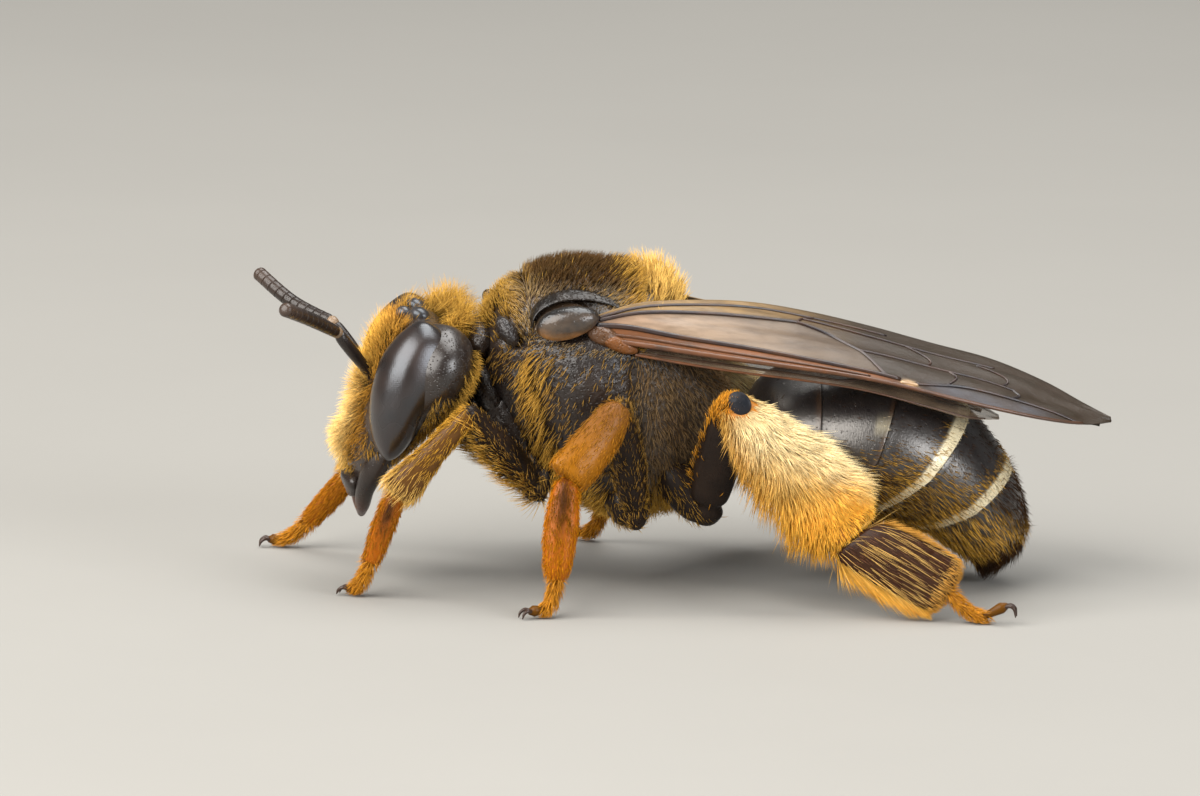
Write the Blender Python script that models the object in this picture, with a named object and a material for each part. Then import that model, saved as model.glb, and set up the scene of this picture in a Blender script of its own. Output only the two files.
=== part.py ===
"""A female yellow loosestrife bee (Macropis), standing, at life size.

Run with: blender --background --python part.py

The bee faces -X and its left side is -Y. It stands on the plane Z = 0. The driving dimensions below are
in millimetres, as an entomologist would give them, and MM turns them into Blender's metres. Every solid
reaches out to the tips of the hair that it carries.
"""

import math

import bmesh
import bpy
import numpy as np
from mathutils import Matrix, Vector

MM = 0.001
PARENT = "bee"
GAP = 0.03  # clearance that parts two plates where they meet
PLATE = 0.22  # half the least thickness of a wing

# Head: an upright capsule that leans back by HEAD_LEAN, measured from its own middle.
HEAD_MIDDLE = (-3.62, 0.0, 2.65)
HEAD_LEAN = math.radians(22)
# (height, half width, depth in front, depth behind)
HEAD_LEVELS = (
    (-1.62, 0.22, 0.16, 0.05),
    (-1.42, 0.50, 0.34, 0.16),
    (-1.05, 0.82, 0.58, 0.38),
    (-0.65, 1.10, 0.74, 0.54),
    (-0.20, 1.30, 0.80, 0.64),
    (0.25, 1.40, 0.78, 0.70),
    (0.65, 1.36, 0.68, 0.72),
    (0.98, 1.12, 0.50, 0.62),
    (1.20, 0.72, 0.28, 0.42),
    (1.30, 0.30, 0.10, 0.20),
)
EYE = {"height": -0.03, "depth": 0.02, "side": 1.04, "half": (0.50, 0.50, 0.97)}
OCELLUS_RADIUS = 0.13
# (height, side, depth)
OCELLI = {"middle": (0.86, 0.0, 0.58), "left": (0.92, -0.30, 0.29), "right": (0.92, 0.30, 0.29)}
CROWN = {"height": 1.30, "depth": 0.46, "half": (0.46, 0.95, 0.44)}  # the bare dish that the ocelli stand in
MANDIBLE = ((-1.02, 0.80, 0.10), (-1.45, 0.66, 0.14), (-1.86, 0.22, 0.02))
MANDIBLE_RADII = (0.25, 0.22, 0.12)

# Antennae: socket, elbow, middle and tip of the left one. The right one reaches a little further forward.
ANTENNA_LEFT = ((-4.30, -0.33, 2.84), (-4.64, -0.60, 3.36), (-5.02, -1.08, 3.62), (-5.40, -1.63, 3.84))
ANTENNA_RIGHT = ((-4.30, 0.33, 2.84), (-4.60, 0.60, 3.28), (-5.10, 1.08, 3.46), (-5.50, 1.56, 3.74))
ANTENNA_RADIUS = 0.22

NECK = ((-3.15, 2.62), (-2.55, 2.80))
NECK_RADIUS = 0.42
WAIST = ((0.45, 2.12), (1.05, 2.06))
WAIST_RADIUS = 0.30

# Thorax: (x, widest level, top, underside, half width)
THORAX_RINGS = (
    (-2.88, 2.95, 3.20, 2.72, 0.28),
    (-2.74, 3.00, 3.62, 2.50, 0.72),
    (-2.44, 3.05, 4.02, 2.12, 1.12),
    (-2.04, 3.08, 4.25, 1.52, 1.42),
    (-1.57, 3.08, 4.34, 1.12, 1.56),
    (-1.00, 3.05, 4.30, 0.92, 1.56),
    (-0.50, 3.00, 4.24, 0.90, 1.44),
    (-0.10, 2.86, 4.14, 1.02, 1.26),
    (0.15, 2.70, 3.74, 1.20, 1.10),
    (0.42, 2.46, 3.08, 1.50, 0.88),
    (0.64, 2.26, 2.62, 1.80, 0.58),
    (0.74, 2.18, 2.34, 2.00, 0.26),
)
TEGULA = {"middle": (-1.72, -1.42, 3.56), "half": (0.42, 0.24, 0.25), "pitch": math.radians(24)}

# Abdomen: (x, z, tilt of the axis below level in degrees, half height, half width)
ABDOMEN_AXIS = (
    (0.78, 2.06, 0, 0.36, 0.42),
    (1.12, 1.99, 0, 0.84, 1.10),
    (1.72, 1.95, 4, 1.05, 1.46),
    (2.42, 1.90, 14, 1.14, 1.60),
    (3.10, 1.62, 34, 1.03, 1.50),
    (3.74, 1.13, 46, 0.78, 1.22),
    (4.12, 0.62, 66, 0.50, 0.80),
    (4.04, 0.20, 96, 0.18, 0.26),
)
TERGITE_ENDS = (0.0, 1.85, 2.95, 3.98, 4.98, 6.0, 7.0)
TERGITE_PARTING = 0.035
TUCK = 0.95  # how much smaller a tergite's front is than the rim that it slides under

# Wings at rest, left side: (x, outer edge y, outer edge z, inner edge y, inner edge z)
FOREWING = (
    (-1.34, -1.44, 3.44, -1.40, 3.60),
    (-0.75, -1.58, 3.26, -1.34, 3.66),
    (0.00, -1.68, 3.17, -0.86, 3.66),
    (0.80, -1.72, 3.08, -0.42, 3.64),
    (1.60, -1.72, 3.00, -0.30, 3.51),
    (2.40, -1.66, 2.90, -0.28, 3.31),
    (3.20, -1.52, 2.78, -0.27, 3.13),
    (4.00, -1.32, 2.61, -0.27, 2.92),
    (4.70, -1.08, 2.45, -0.31, 2.70),
    (5.22, -0.84, 2.36, -0.40, 2.51),
    (5.56, -0.66, 2.32, -0.52, 2.35),
)
HINDWING = (
    (-0.80, -1.46, 2.96, -1.30, 3.06),
    (-0.20, -1.54, 2.88, -1.00, 3.14),
    (0.60, -1.58, 2.80, -0.80, 3.12),
    (1.40, -1.60, 2.73, -0.72, 3.06),
    (2.20, -1.58, 2.64, -0.70, 2.95),
    (3.00, -1.46, 2.52, -0.68, 2.79),
    (3.60, -1.30, 2.42, -0.72, 2.62),
    (4.00, -1.12, 2.37, -0.88, 2.44),
)
RIGHT_WING_DROP = 0.06  # the right wings are folded a little under the left ones

# Legs, left side: coxa, trochanter, knee, ankle, end of the long first tarsal joint, foot
FOOT = 0.14  # height of the last joint, low enough that the foot is pressed flat on the floor
LEG_JOINTS = {
    "fore_left": (
        (-2.02, -0.45, 1.80), (-1.98, -0.68, 1.30), (-2.98, -1.56, 2.49),
        (-3.92, -1.58, 1.38), (-4.21, -1.38, 0.46), (-4.39, -1.28, FOOT),
    ),
    "fore_right": (
        (-2.02, 0.45, 1.80), (-1.98, 0.68, 1.30), (-3.26, 1.58, 2.12),
        (-4.24, 1.80, 1.00), (-4.76, 1.98, 0.36), (-5.10, 2.02, FOOT),
    ),
    "mid_left": (
        (-0.90, -0.55, 1.35), (-0.70, -0.90, 0.98), (-1.00, -1.72, 2.60),
        (-1.74, -2.28, 1.74), (-1.88, -2.56, 0.46), (-2.16, -2.72, FOOT),
    ),
    "mid_right": (
        (-0.90, 0.55, 1.35), (-0.70, 0.90, 0.98), (-0.86, 1.74, 2.55),
        (-0.94, 2.28, 1.55), (-0.82, 2.52, 0.44), (-1.06, 2.70, FOOT),
    ),
    "hind_left": (
        (-0.42, -0.60, 1.78), (0.22, -0.92, 1.05), (0.44, -1.70, 2.66),
        (2.22, -2.38, 1.06), (3.26, -2.72, 0.38), (4.00, -2.90, FOOT),
    ),
    "hind_right": (
        (-0.42, 0.60, 1.78), (0.22, 0.92, 1.05), (0.36, 1.72, 2.62),
        (1.98, 2.40, 1.06), (2.98, 2.70, 0.38), (3.70, 2.92, FOOT),
    ),
}
LEG_PIECES = ("coxa", "femur", "tibia", "basitarsus", "tarsus")
# Each piece's rings: (share of its length, half width, half thickness). A share may pass a joint by a little.
LEG_RINGS = {
    "coxa": ((0.0, 0.26, 0.26), (0.4, 0.33, 0.32), (0.85, 0.31, 0.30), (1.12, 0.20, 0.20)),
    "fore_femur": (
        (-0.06, 0.18, 0.18), (0.08, 0.29, 0.27), (0.40, 0.34, 0.28),
        (0.80, 0.29, 0.26), (1.0, 0.25, 0.25), (1.08, 0.14, 0.14),
    ),
    "fore_tibia": (
        (-0.02, 0.20, 0.20), (0.10, 0.25, 0.25), (0.50, 0.26, 0.25), (0.88, 0.31, 0.28), (1.06, 0.22, 0.22),
    ),
    "fore_basitarsus": (
        (-0.04, 0.20, 0.20), (0.12, 0.25, 0.25), (0.60, 0.27, 0.25), (0.95, 0.24, 0.24), (1.08, 0.16, 0.16),
    ),
    "mid_femur": (
        (-0.06, 0.18, 0.18), (0.08, 0.28, 0.25), (0.40, 0.31, 0.27),
        (0.80, 0.27, 0.25), (1.0, 0.25, 0.25), (1.07, 0.14, 0.14),
    ),
    "mid_tibia": (
        (-0.02, 0.20, 0.20), (0.10, 0.26, 0.25), (0.55, 0.34, 0.28), (0.90, 0.35, 0.29), (1.08, 0.22, 0.20),
    ),
    "mid_basitarsus": (
        (-0.04, 0.22, 0.20), (0.10, 0.29, 0.26), (0.55, 0.30, 0.27), (0.95, 0.25, 0.24), (1.07, 0.16, 0.16),
    ),
    "hind_femur": (
        (-0.06, 0.20, 0.18), (0.08, 0.31, 0.26), (0.45, 0.34, 0.28),
        (0.80, 0.30, 0.26), (1.0, 0.26, 0.25), (1.08, 0.15, 0.15),
    ),
    "hind_tibia": (
        (0.0, 0.22, 0.20), (0.06, 0.34, 0.28), (0.25, 0.53, 0.38), (0.55, 0.66, 0.44),
        (0.82, 0.66, 0.44), (0.98, 0.50, 0.34), (1.06, 0.28, 0.22),
    ),
    "hind_basitarsus": (
        (-0.05, 0.26, 0.18), (0.12, 0.46, 0.30), (0.55, 0.54, 0.31), (0.88, 0.46, 0.27), (1.08, 0.18, 0.16),
    ),
    "tarsus": ((-0.10, 0.17, 0.17), (0.12, 0.22, 0.22), (0.76, 0.24, 0.24), (1.10, 0.22, 0.22), (1.35, 0.12, 0.12)),
}

# colour, roughness
FINISHES = {
    "golden_coat": ((0.62, 0.36, 0.10), 0.8),
    "dark_shell": ((0.035, 0.026, 0.020), 0.35),
    "eye_black": ((0.030, 0.024, 0.024), 0.1),
    "ocellus_glass": ((0.20, 0.20, 0.22), 0.1),
    "orange_velvet": ((0.72, 0.31, 0.03), 0.7),
    "cream_scopa": ((0.85, 0.60, 0.25), 0.8),
    "wing_brown": ((0.20, 0.14, 0.10), 0.3),
    "tegula_brown": ((0.22, 0.14, 0.09), 0.2),
}


def material(name):
    """The Blender material of this finish, made the first time that it is asked for."""
    found = bpy.data.materials.get(name)
    if found:
        return found
    colour, roughness = FINISHES[name]
    made = bpy.data.materials.new(name)
    made.use_nodes = True
    shader = made.node_tree.nodes["Principled BSDF"]
    shader.inputs["Base Color"].default_value = (*colour, 1.0)
    shader.inputs["Roughness"].default_value = roughness
    shader.inputs["Metallic"].default_value = 0.0
    return made


def clear_scene():
    for obj in list(bpy.data.objects):
        bpy.data.objects.remove(obj)


def stand(parts):
    """The empty on the floor under the bee that every piece is parented to."""
    empty = bpy.data.objects.new(PARENT, None)
    empty.empty_display_size = MM
    parts.objects.link(empty)


def collection(name):
    made = bpy.data.collections.new(name)
    bpy.context.scene.collection.children.link(made)
    return made


def ring_points(section, sides, squareness):
    """One closed ring from its centre and its reach to the side, above and below. Low squareness squares it."""
    centre, across, above, below = section
    for index in range(sides):
        angle = math.tau * (index + 0.5) / sides
        c = math.copysign(abs(math.cos(angle)) ** squareness, math.cos(angle))
        s = math.copysign(abs(math.sin(angle)) ** squareness, math.sin(angle))
        yield centre + across * c + (above * s if s > 0 else below * -s)


def add_solid(name, bm, finish, parts, joint):
    """Makes the object, in metres, from a bmesh in millimetres. Its origin and its turn are those of its joint."""
    bmesh.ops.recalc_face_normals(bm, faces=bm.faces)
    bmesh.ops.transform(bm, matrix=joint.inverted(), verts=bm.verts)
    bmesh.ops.scale(bm, vec=(MM, MM, MM), verts=bm.verts)
    mesh = bpy.data.meshes.new(name)
    bm.to_mesh(mesh)
    bm.free()
    mesh.shade_smooth()
    mesh.set_sharp_from_angle(angle=math.radians(40))
    mesh.materials.append(material(finish))
    obj = bpy.data.objects.new(name, mesh)
    obj.location = joint.translation * MM
    obj.rotation_euler = joint.to_euler()
    obj.parent = bpy.data.objects[PARENT]
    parts.objects.link(obj)
    return obj


def joint_at(point, along=(1, 0, 0)):
    """A frame at this point with its local X along the piece."""
    return Matrix.Translation(point) @ Vector(along).to_track_quat("X", "Z").to_matrix().to_4x4()


def loft(name, sections, sides, finish, parts, squareness=1.0, floor=None):
    """A closed solid through these rings, jointed at the first. Points under the floor are pressed flat onto it."""
    bm = bmesh.new()
    sections = list(sections)
    loops = [[bm.verts.new(p) for p in ring_points(s, sides, squareness)] for s in sections]
    for near, far in zip(loops, loops[1:]):
        for i in range(sides):
            j = (i + 1) % sides
            bm.faces.new((near[i], near[j], far[j], far[i]))
    bm.faces.new(reversed(loops[0]))
    bm.faces.new(loops[-1])
    if floor is not None:
        for vertex in bm.verts:
            vertex.co.z = max(vertex.co.z, floor)
    return add_solid(name, bm, finish, parts, joint_at(sections[0][0], sections[-1][0] - sections[0][0]))


def ball(name, middle, half, turn, finish, parts, segments=14, rings=8):
    """An ellipsoid with these half sizes, turned by a rotation matrix."""
    bm = bmesh.new()
    bmesh.ops.create_uvsphere(bm, u_segments=segments, v_segments=rings, radius=1.0)
    joint = Matrix.Translation(middle) @ turn.to_4x4()
    bmesh.ops.transform(bm, matrix=joint @ Matrix.Diagonal((*half, 1.0)), verts=bm.verts)
    return add_solid(name, bm, finish, parts, joint)


def limb_sections(start, end, rings):
    """Oval rings square to the line from start to end, with their width in the upright plane."""
    start, end = Vector(start), Vector(end)
    along = (end - start).normalized()
    sideways = Vector((0, 1, 0))
    sideways = (sideways - along * sideways.dot(along)).normalized()
    upright = along.cross(sideways)
    for share, half_width, half_thickness in rings:
        centre = start.lerp(end, share)
        yield centre, sideways * half_thickness, upright * half_width, upright * -half_width


def tube_sections(points, radii):
    """Round rings at these points, each square to the line between its neighbours, with both ends rounded off."""
    points = [Vector(p) for p in points]
    cap = 0.55
    directions = [
        (points[min(i + 1, len(points) - 1)] - points[max(i - 1, 0)]).normalized() for i in range(len(points))
    ]
    rows = [(points[0] - directions[0] * radii[0] * cap, directions[0], radii[0] * cap)]
    rows += list(zip(points, directions, radii))
    rows += [(points[-1] + directions[-1] * radii[-1] * cap, directions[-1], radii[-1] * cap)]
    for centre, direction, radius in rows:
        sideways = direction.orthogonal().normalized() * radius
        upright = direction.cross(sideways)
        yield centre, sideways, upright, -upright


def in_head(height, side, depth):
    """The point at this height, side and depth of the leaning head."""
    up = Vector((math.sin(HEAD_LEAN), 0, math.cos(HEAD_LEAN)))
    forward = Vector((-math.cos(HEAD_LEAN), 0, math.sin(HEAD_LEAN)))
    return Vector(HEAD_MIDDLE) + up * height + forward * depth + Vector((0, side, 0))


def make_head(parts, cutters):
    forward = in_head(0, 0, 1) - in_head(0, 0, 0)
    sections = [
        (in_head(height, 0, 0), Vector((0, half_width, 0)), forward * front, forward * -back)
        for height, half_width, front, back in HEAD_LEVELS
    ]
    loft("head", sections, 18, "golden_coat", parts, squareness=0.86)
    turn = Matrix.Rotation(HEAD_LEAN, 3, "Y")
    for side, sign in (("left", -1), ("right", 1)):
        place = in_head(EYE["height"], sign * EYE["side"], EYE["depth"])
        ball(f"eye_{side}", place, EYE["half"], turn, "eye_black", parts)
        jaw = [in_head(height, sign * out, depth) for height, out, depth in MANDIBLE]
        loft(f"mandible_{side}", tube_sections(jaw, MANDIBLE_RADII), 8, "dark_shell", parts)
    for place, (height, out, depth) in OCELLI.items():
        at = in_head(height, out, depth)
        ball(f"ocellus_{place}", at, (OCELLUS_RADIUS,) * 3, turn, "ocellus_glass", parts, segments=8, rings=5)
    crown = in_head(CROWN["height"], 0, CROWN["depth"])
    as_helper(ball("cutter_crown", crown, CROWN["half"], turn, "dark_shell", cutters))


def make_antenna(side, joints, parts):
    socket, elbow, middle, tip = joints
    radius = ANTENNA_RADIUS
    loft(f"scape_{side}", tube_sections((socket, elbow), (radius, radius)), 8, "dark_shell", parts)
    joint = Vector(elbow).lerp(Vector(middle), 0.12)
    rings = tube_sections((joint, middle, tip), (radius * 0.96, radius, radius * 0.9))
    loft(f"flagellum_{side}", rings, 8, "dark_shell", parts)


def make_rod(name, ends, radius, parts):
    """A short round link on the middle line, such as the neck or the waist."""
    points = [(x, 0, z) for x, z in ends]
    loft(name, tube_sections(points, (radius, radius)), 12, "dark_shell", parts)


def make_thorax(parts):
    sections = [
        (Vector((x, 0, widest)), Vector((0, half, 0)), Vector((0, 0, top - widest)), Vector((0, 0, under - widest)))
        for x, widest, top, under, half in THORAX_RINGS
    ]
    loft("thorax", sections, 22, "golden_coat", parts)
    for side, sign in (("left", 1), ("right", -1)):
        x, y, z = TEGULA["middle"]
        turn = Matrix.Rotation(-TEGULA["pitch"], 3, "Y")
        ball(f"tegula_{side}", (x, y * sign, z), TEGULA["half"], turn, "tegula_brown", parts, segments=12, rings=7)


def abdomen_section(share, size=1.0):
    """The abdomen's ring at this place along its axis, read from a smooth curve through ABDOMEN_AXIS."""
    rows = np.array(ABDOMEN_AXIS, float)
    last = len(rows) - 1
    i = min(int(share), last - 1)
    t = share - i
    before, a, b, after = rows[max(i - 1, 0)], rows[i], rows[i + 1], rows[min(i + 2, last)]
    m0, m1 = (b - before) / 2, (after - a) / 2
    x, z, tilt, half_height, half_width = (
        (2 * t**3 - 3 * t**2 + 1) * a + (t**3 - 2 * t**2 + t) * m0 + (3 * t**2 - 2 * t**3) * b + (t**3 - t**2) * m1
    )
    tilt = math.radians(tilt)
    up = Vector((math.sin(tilt), 0, math.cos(tilt))) * half_height * size
    return Vector((x, 0, z)), Vector((0, half_width * size, 0)), up, -up


def make_abdomen(parts):
    last = len(TERGITE_ENDS) - 2
    for number, (front, rear) in enumerate(zip(TERGITE_ENDS, TERGITE_ENDS[1:])):
        start = front + (TERGITE_PARTING if number else 0)
        steps = 5 if number == 0 else 4
        shares = [start + (rear - start) * i / (steps - 1) for i in range(steps)]
        sizes = [1.0 if number == 0 else TUCK + (1 - TUCK) * i / (steps - 1) for i in range(steps)]
        sections = [abdomen_section(share, size) for share, size in zip(shares, sizes)]
        finish = "dark_shell"
        loft(f"abdomen_{number + 1}", sections, 20, finish, parts, floor=0.0 if number >= last - 1 else None)


def make_wing(name, stations, sign, parts):
    """A plate 2 * PLATE thick between its outer and inner edges, which are mirrored for the right side."""
    sections = []
    drop = RIGHT_WING_DROP if sign < 0 else 0
    for x, outer_y, outer_z, inner_y, inner_z in stations:
        outer = Vector((x, outer_y * sign, outer_z - drop))
        inner = Vector((x, inner_y * sign, inner_z - drop))
        across = (inner - outer) / 2
        normal = Vector((1, 0, 0)).cross(across).normalized() * PLATE
        spread = across + across.normalized() * PLATE * 0.5
        sections.append(((outer + inner) / 2, spread, normal, -normal))
    loft(name, sections, 8, "wing_brown", parts, squareness=0.55)


def make_leg(leg, joints, parts):
    pair = leg.split("_")[0]
    finishes = {
        "fore": ("dark_shell", "dark_shell", "golden_coat", "orange_velvet", "orange_velvet"),
        "mid": ("dark_shell", "dark_shell", "orange_velvet", "orange_velvet", "orange_velvet"),
        "hind": ("dark_shell", "dark_shell", "cream_scopa", "dark_shell", "orange_velvet"),
    }[pair]
    for piece, finish, start, end in zip(LEG_PIECES, finishes, joints, joints[1:]):
        rings = LEG_RINGS.get(f"{pair}_{piece}") or LEG_RINGS[piece]
        sides = 12 if (pair, piece) in (("hind", "tibia"), ("hind", "basitarsus")) else 8
        floor = 0.0 if piece in ("tarsus", "basitarsus") else None
        loft(f"{piece}_{leg}", limb_sections(start, end, rings), sides, finish, parts, floor=floor)


def as_helper(obj):
    """Keeps a cutter out of renders and shows it as wire."""
    obj.hide_render = True
    obj.display_type = "WIRE"


def carve(target, names, cutters):
    """Cuts the named neighbours, and the gap round each, out of the target, so that they meet with no overlap."""
    chosen = bpy.data.collections.new(f"cut_from_{target}")
    cutters.children.link(chosen)
    for name in names:
        cutter = bpy.data.objects.get(f"cutter_{name}")
        if cutter is None:
            solid = bpy.data.objects[name]
            cutter = bpy.data.objects.new(f"cutter_{name}", solid.data)
            cutter.parent, cutter.location, cutter.rotation_euler = solid.parent, solid.location, solid.rotation_euler
            grow = cutter.modifiers.new("gap", "DISPLACE")
            grow.strength = GAP * MM
            grow.mid_level = 0.0
            as_helper(cutter)
        chosen.objects.link(cutter)
    cut = bpy.data.objects[target].modifiers.new("parting", "BOOLEAN")
    cut.operation = "DIFFERENCE"
    cut.solver = "EXACT"
    cut.operand_type = "COLLECTION"
    cut.collection = chosen


def part_pieces(cutters):
    """Who is cut by whom: each leg piece by the one before it, and the body by all that is set into it."""
    both = ("left", "right")
    for leg in LEG_JOINTS:
        for piece, inner in zip(LEG_PIECES[1:], LEG_PIECES):
            carve(f"{piece}_{leg}", [f"{inner}_{leg}"], cutters)
    for side in both:
        carve(f"flagellum_{side}", [f"scape_{side}"], cutters)
        above_and_below = ["forewing", "tegula", "femur_hind", "tibia_hind"]
        carve(f"hindwing_{side}", [f"{piece}_{side}" for piece in above_and_below], cutters)
        carve(f"forewing_{side}", [f"tegula_{side}"], cutters)
    wings = [f"{wing}_{side}" for wing in ("forewing", "hindwing") for side in both]
    set_in_head = [f"{piece}_{side}" for piece in ("eye", "mandible", "scape") for side in both]
    carve("head", set_in_head + [f"ocellus_{place}" for place in OCELLI] + ["crown", "neck"], cutters)
    hips = [f"coxa_{leg}" for leg in LEG_JOINTS]
    thighs = [f"femur_{leg}" for leg in LEG_JOINTS]
    sockets = [f"tegula_{side}" for side in both]
    carve("thorax", ["head", "neck", "waist"] + hips + thighs + sockets + wings, cutters)
    carve("abdomen_1", ["waist"] + wings, cutters)
    for number in (2, 3, 4):
        carve(f"abdomen_{number}", wings, cutters)


def main():
    clear_scene()
    parts = collection("loosestrife_bee")
    cutters = collection("cutters")
    stand(parts)
    make_head(parts, cutters)
    make_antenna("left", ANTENNA_LEFT, parts)
    make_antenna("right", ANTENNA_RIGHT, parts)
    make_rod("neck", NECK, NECK_RADIUS, parts)
    make_rod("waist", WAIST, WAIST_RADIUS, parts)
    make_thorax(parts)
    make_abdomen(parts)
    for side, sign in (("left", 1), ("right", -1)):
        make_wing(f"forewing_{side}", FOREWING, sign, parts)
        make_wing(f"hindwing_{side}", HINDWING, sign, parts)
    for leg, joints in LEG_JOINTS.items():
        make_leg(leg, joints, parts)
    part_pieces(cutters)


main()
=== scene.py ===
"""The looks of a female yellow loosestrife bee: shell, eyes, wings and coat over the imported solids.

Shapes are worked out in millimetres in the frame's directions (the bee faces -X, its left side is -Y and the floor
is Z = 0) and become metres when a piece is finished.
"""

import math

import bmesh
import bpy
import numpy as np
from mathutils import Matrix, Vector


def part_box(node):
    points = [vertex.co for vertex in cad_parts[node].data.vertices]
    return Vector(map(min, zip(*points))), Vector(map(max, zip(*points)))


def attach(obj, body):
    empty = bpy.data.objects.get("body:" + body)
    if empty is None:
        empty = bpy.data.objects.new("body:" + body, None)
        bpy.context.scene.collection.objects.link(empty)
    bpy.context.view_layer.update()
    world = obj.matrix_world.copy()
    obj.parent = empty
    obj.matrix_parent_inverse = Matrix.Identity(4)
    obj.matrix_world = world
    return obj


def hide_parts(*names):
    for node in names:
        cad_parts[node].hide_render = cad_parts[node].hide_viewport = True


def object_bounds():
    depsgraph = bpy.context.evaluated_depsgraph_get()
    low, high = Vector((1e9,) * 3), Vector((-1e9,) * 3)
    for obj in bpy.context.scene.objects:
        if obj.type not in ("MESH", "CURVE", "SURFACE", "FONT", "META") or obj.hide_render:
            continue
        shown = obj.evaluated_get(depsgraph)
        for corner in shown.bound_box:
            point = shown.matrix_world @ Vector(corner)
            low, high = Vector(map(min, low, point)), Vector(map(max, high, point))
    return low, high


bl_info = {
    "name": "Loosestrife Bee",
    "version": (1, 0, 0),
    "blender": (4, 5, 0),
    "location": "View3D > Sidebar > Bee",
    "description": "Shell, eyes, wings and coat of a standing loosestrife bee",
    "category": "Add Mesh",
}

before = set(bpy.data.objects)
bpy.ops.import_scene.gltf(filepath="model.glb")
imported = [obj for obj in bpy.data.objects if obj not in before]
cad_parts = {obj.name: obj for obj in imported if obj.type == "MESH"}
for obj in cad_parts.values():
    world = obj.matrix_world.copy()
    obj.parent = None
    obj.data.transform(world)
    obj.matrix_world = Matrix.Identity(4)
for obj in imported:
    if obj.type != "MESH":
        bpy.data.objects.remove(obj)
CAD_BOX = [list(map(float, corner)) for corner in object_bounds()]

MM = 0.001
SIDES = {"left": -1, "right": 1}
Y_AXIS = np.array((0.0, 1.0, 0.0))
TINT = "tint"  # the colour layer that every mesh carries and every finish reads


# ---------------------------------------------------------------- numbers


def middle_of(node):
    """The middle of a solid's box, in millimetres."""
    low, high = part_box(node)
    return np.array((low + high) / 2) / MM


def unit(vectors):
    vectors = np.asarray(vectors, float)
    return vectors / np.maximum(np.linalg.norm(vectors, axis=-1, keepdims=True), 1e-12)


def dip(value, centre, width):
    """A soft hump of height 1 at the centre."""
    return np.exp(-(((value - centre) / width) ** 2))


def rise_to(value, start, end):
    """0 before start, 1 after end and smooth between them."""
    t = np.clip((value - start) / (end - start), 0, 1)
    return t * t * (3 - 2 * t)


def mixed(a, b, share):
    """Colour a with this share of colour b, for one colour or one for each point."""
    share = np.asarray(share, float)
    if share.ndim:
        share = share[:, None]
    return np.asarray(a, float) * (1 - share) + np.asarray(b, float) * share


def drift(points, size, seed):
    """A smooth random direction field that changes over about this many millimetres."""
    rng = np.random.default_rng(seed)
    count, spread = 5, 2.2  # waves, and about the root of their number
    total = np.zeros_like(points)
    for _ in range(count):
        waves = rng.normal(size=(3, 3)) * (math.tau / size / spread)
        total += np.sin(points @ waves.T + rng.random(3) * math.tau)
    return total / spread


# ---------------------------------------------------------------- forms


def spline(rows, share):
    """Rows read at any place from 0 to 1, from a smooth curve through them all."""
    rows = np.asarray(rows, float)
    last = len(rows) - 1
    where = np.clip(np.asarray(share, float), 0, 1) * last
    i = np.minimum(where.astype(int), last - 1)
    t = (where - i)[:, None]
    a, b = rows[i], rows[i + 1]
    before, after = rows[np.maximum(i - 1, 0)], rows[np.minimum(i + 2, last)]
    m0, m1 = (b - before) / 2, (after - a) / 2
    return (
        (2 * t**3 - 3 * t**2 + 1) * a + (t**3 - 2 * t**2 + t) * m0 + (3 * t**2 - 2 * t**3) * b + (t**3 - t**2) * m1
    )


class Form:
    """A smooth closed body: oval rings along a bent axis. A row is (centre, reach aside, reach up, reach down)."""

    def __init__(self, rows, square=1.0, relief=None):
        self.rows = np.array([np.concatenate([np.asarray(v, float) for v in row]) for row in rows])
        self.square = square
        self.relief = relief

    def plain(self, place, angle):
        row = spline(self.rows, place)
        c, s = np.cos(angle), np.sin(angle)
        c, s = np.sign(c) * np.abs(c) ** self.square, np.sign(s) * np.abs(s) ** self.square
        up, down = np.maximum(s, 0)[:, None], np.maximum(-s, 0)[:, None]
        return row[:, :3] + row[:, 3:6] * c[:, None] + row[:, 6:9] * up + row[:, 9:12] * down

    def facing(self, place, angle):
        """Outward directions and the size of the patch of skin there."""
        step = 2e-3
        place = np.clip(place, step, 1 - step)
        along = self.plain(place + step, angle) - self.plain(place - step, angle)
        around = self.plain(place, angle + step) - self.plain(place, angle - step)
        cross = np.cross(around, along)
        size = np.linalg.norm(cross, axis=1)
        out = unit(cross)
        away = self.plain(place, angle) - spline(self.rows, place)[:, :3]
        flip = np.sign(np.sum(out * away, axis=1))
        return out * np.where(flip == 0, 1, flip)[:, None], size

    def surface(self, place, angle):
        points = self.plain(place, angle)
        if self.relief is None:
            return points
        out, _ = self.facing(place, angle)
        return points + out * self.relief(points)[:, None]


def tint_layer(bm):
    return bm.verts.layers.float_color.get(TINT) or bm.verts.layers.float_color.new(TINT)


def even_tint(tint):
    """A form's colour when it is the same all over."""
    return lambda points, _place, _angle: np.ones((len(points), 3)) * tint


def add_form(bm, form, around, along, colour=None):
    """Adds a form's skin to the bmesh, with its colour in the tint layer."""
    layer = tint_layer(bm)
    verts = bmesh.ops.create_uvsphere(bm, u_segments=around, v_segments=along, radius=1.0)["verts"]
    co = np.array([v.co[:] for v in verts])
    place = np.arccos(np.clip(co[:, 2], -1, 1)) / math.pi
    angle = np.arctan2(co[:, 1], co[:, 0])
    points = form.surface(place, angle)
    tints = np.ones((len(points), 3)) if colour is None else colour(points, place, angle)
    for vert, point, tint in zip(verts, points, tints):
        vert.co = point
        vert[layer] = (*tint, 1.0)
    return verts


# (how far a rounded end reaches past its limb, its size there), as shares of the limb's radius
ROUND_END = ((0.8, 0.6), (1.0, 0.0))


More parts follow.
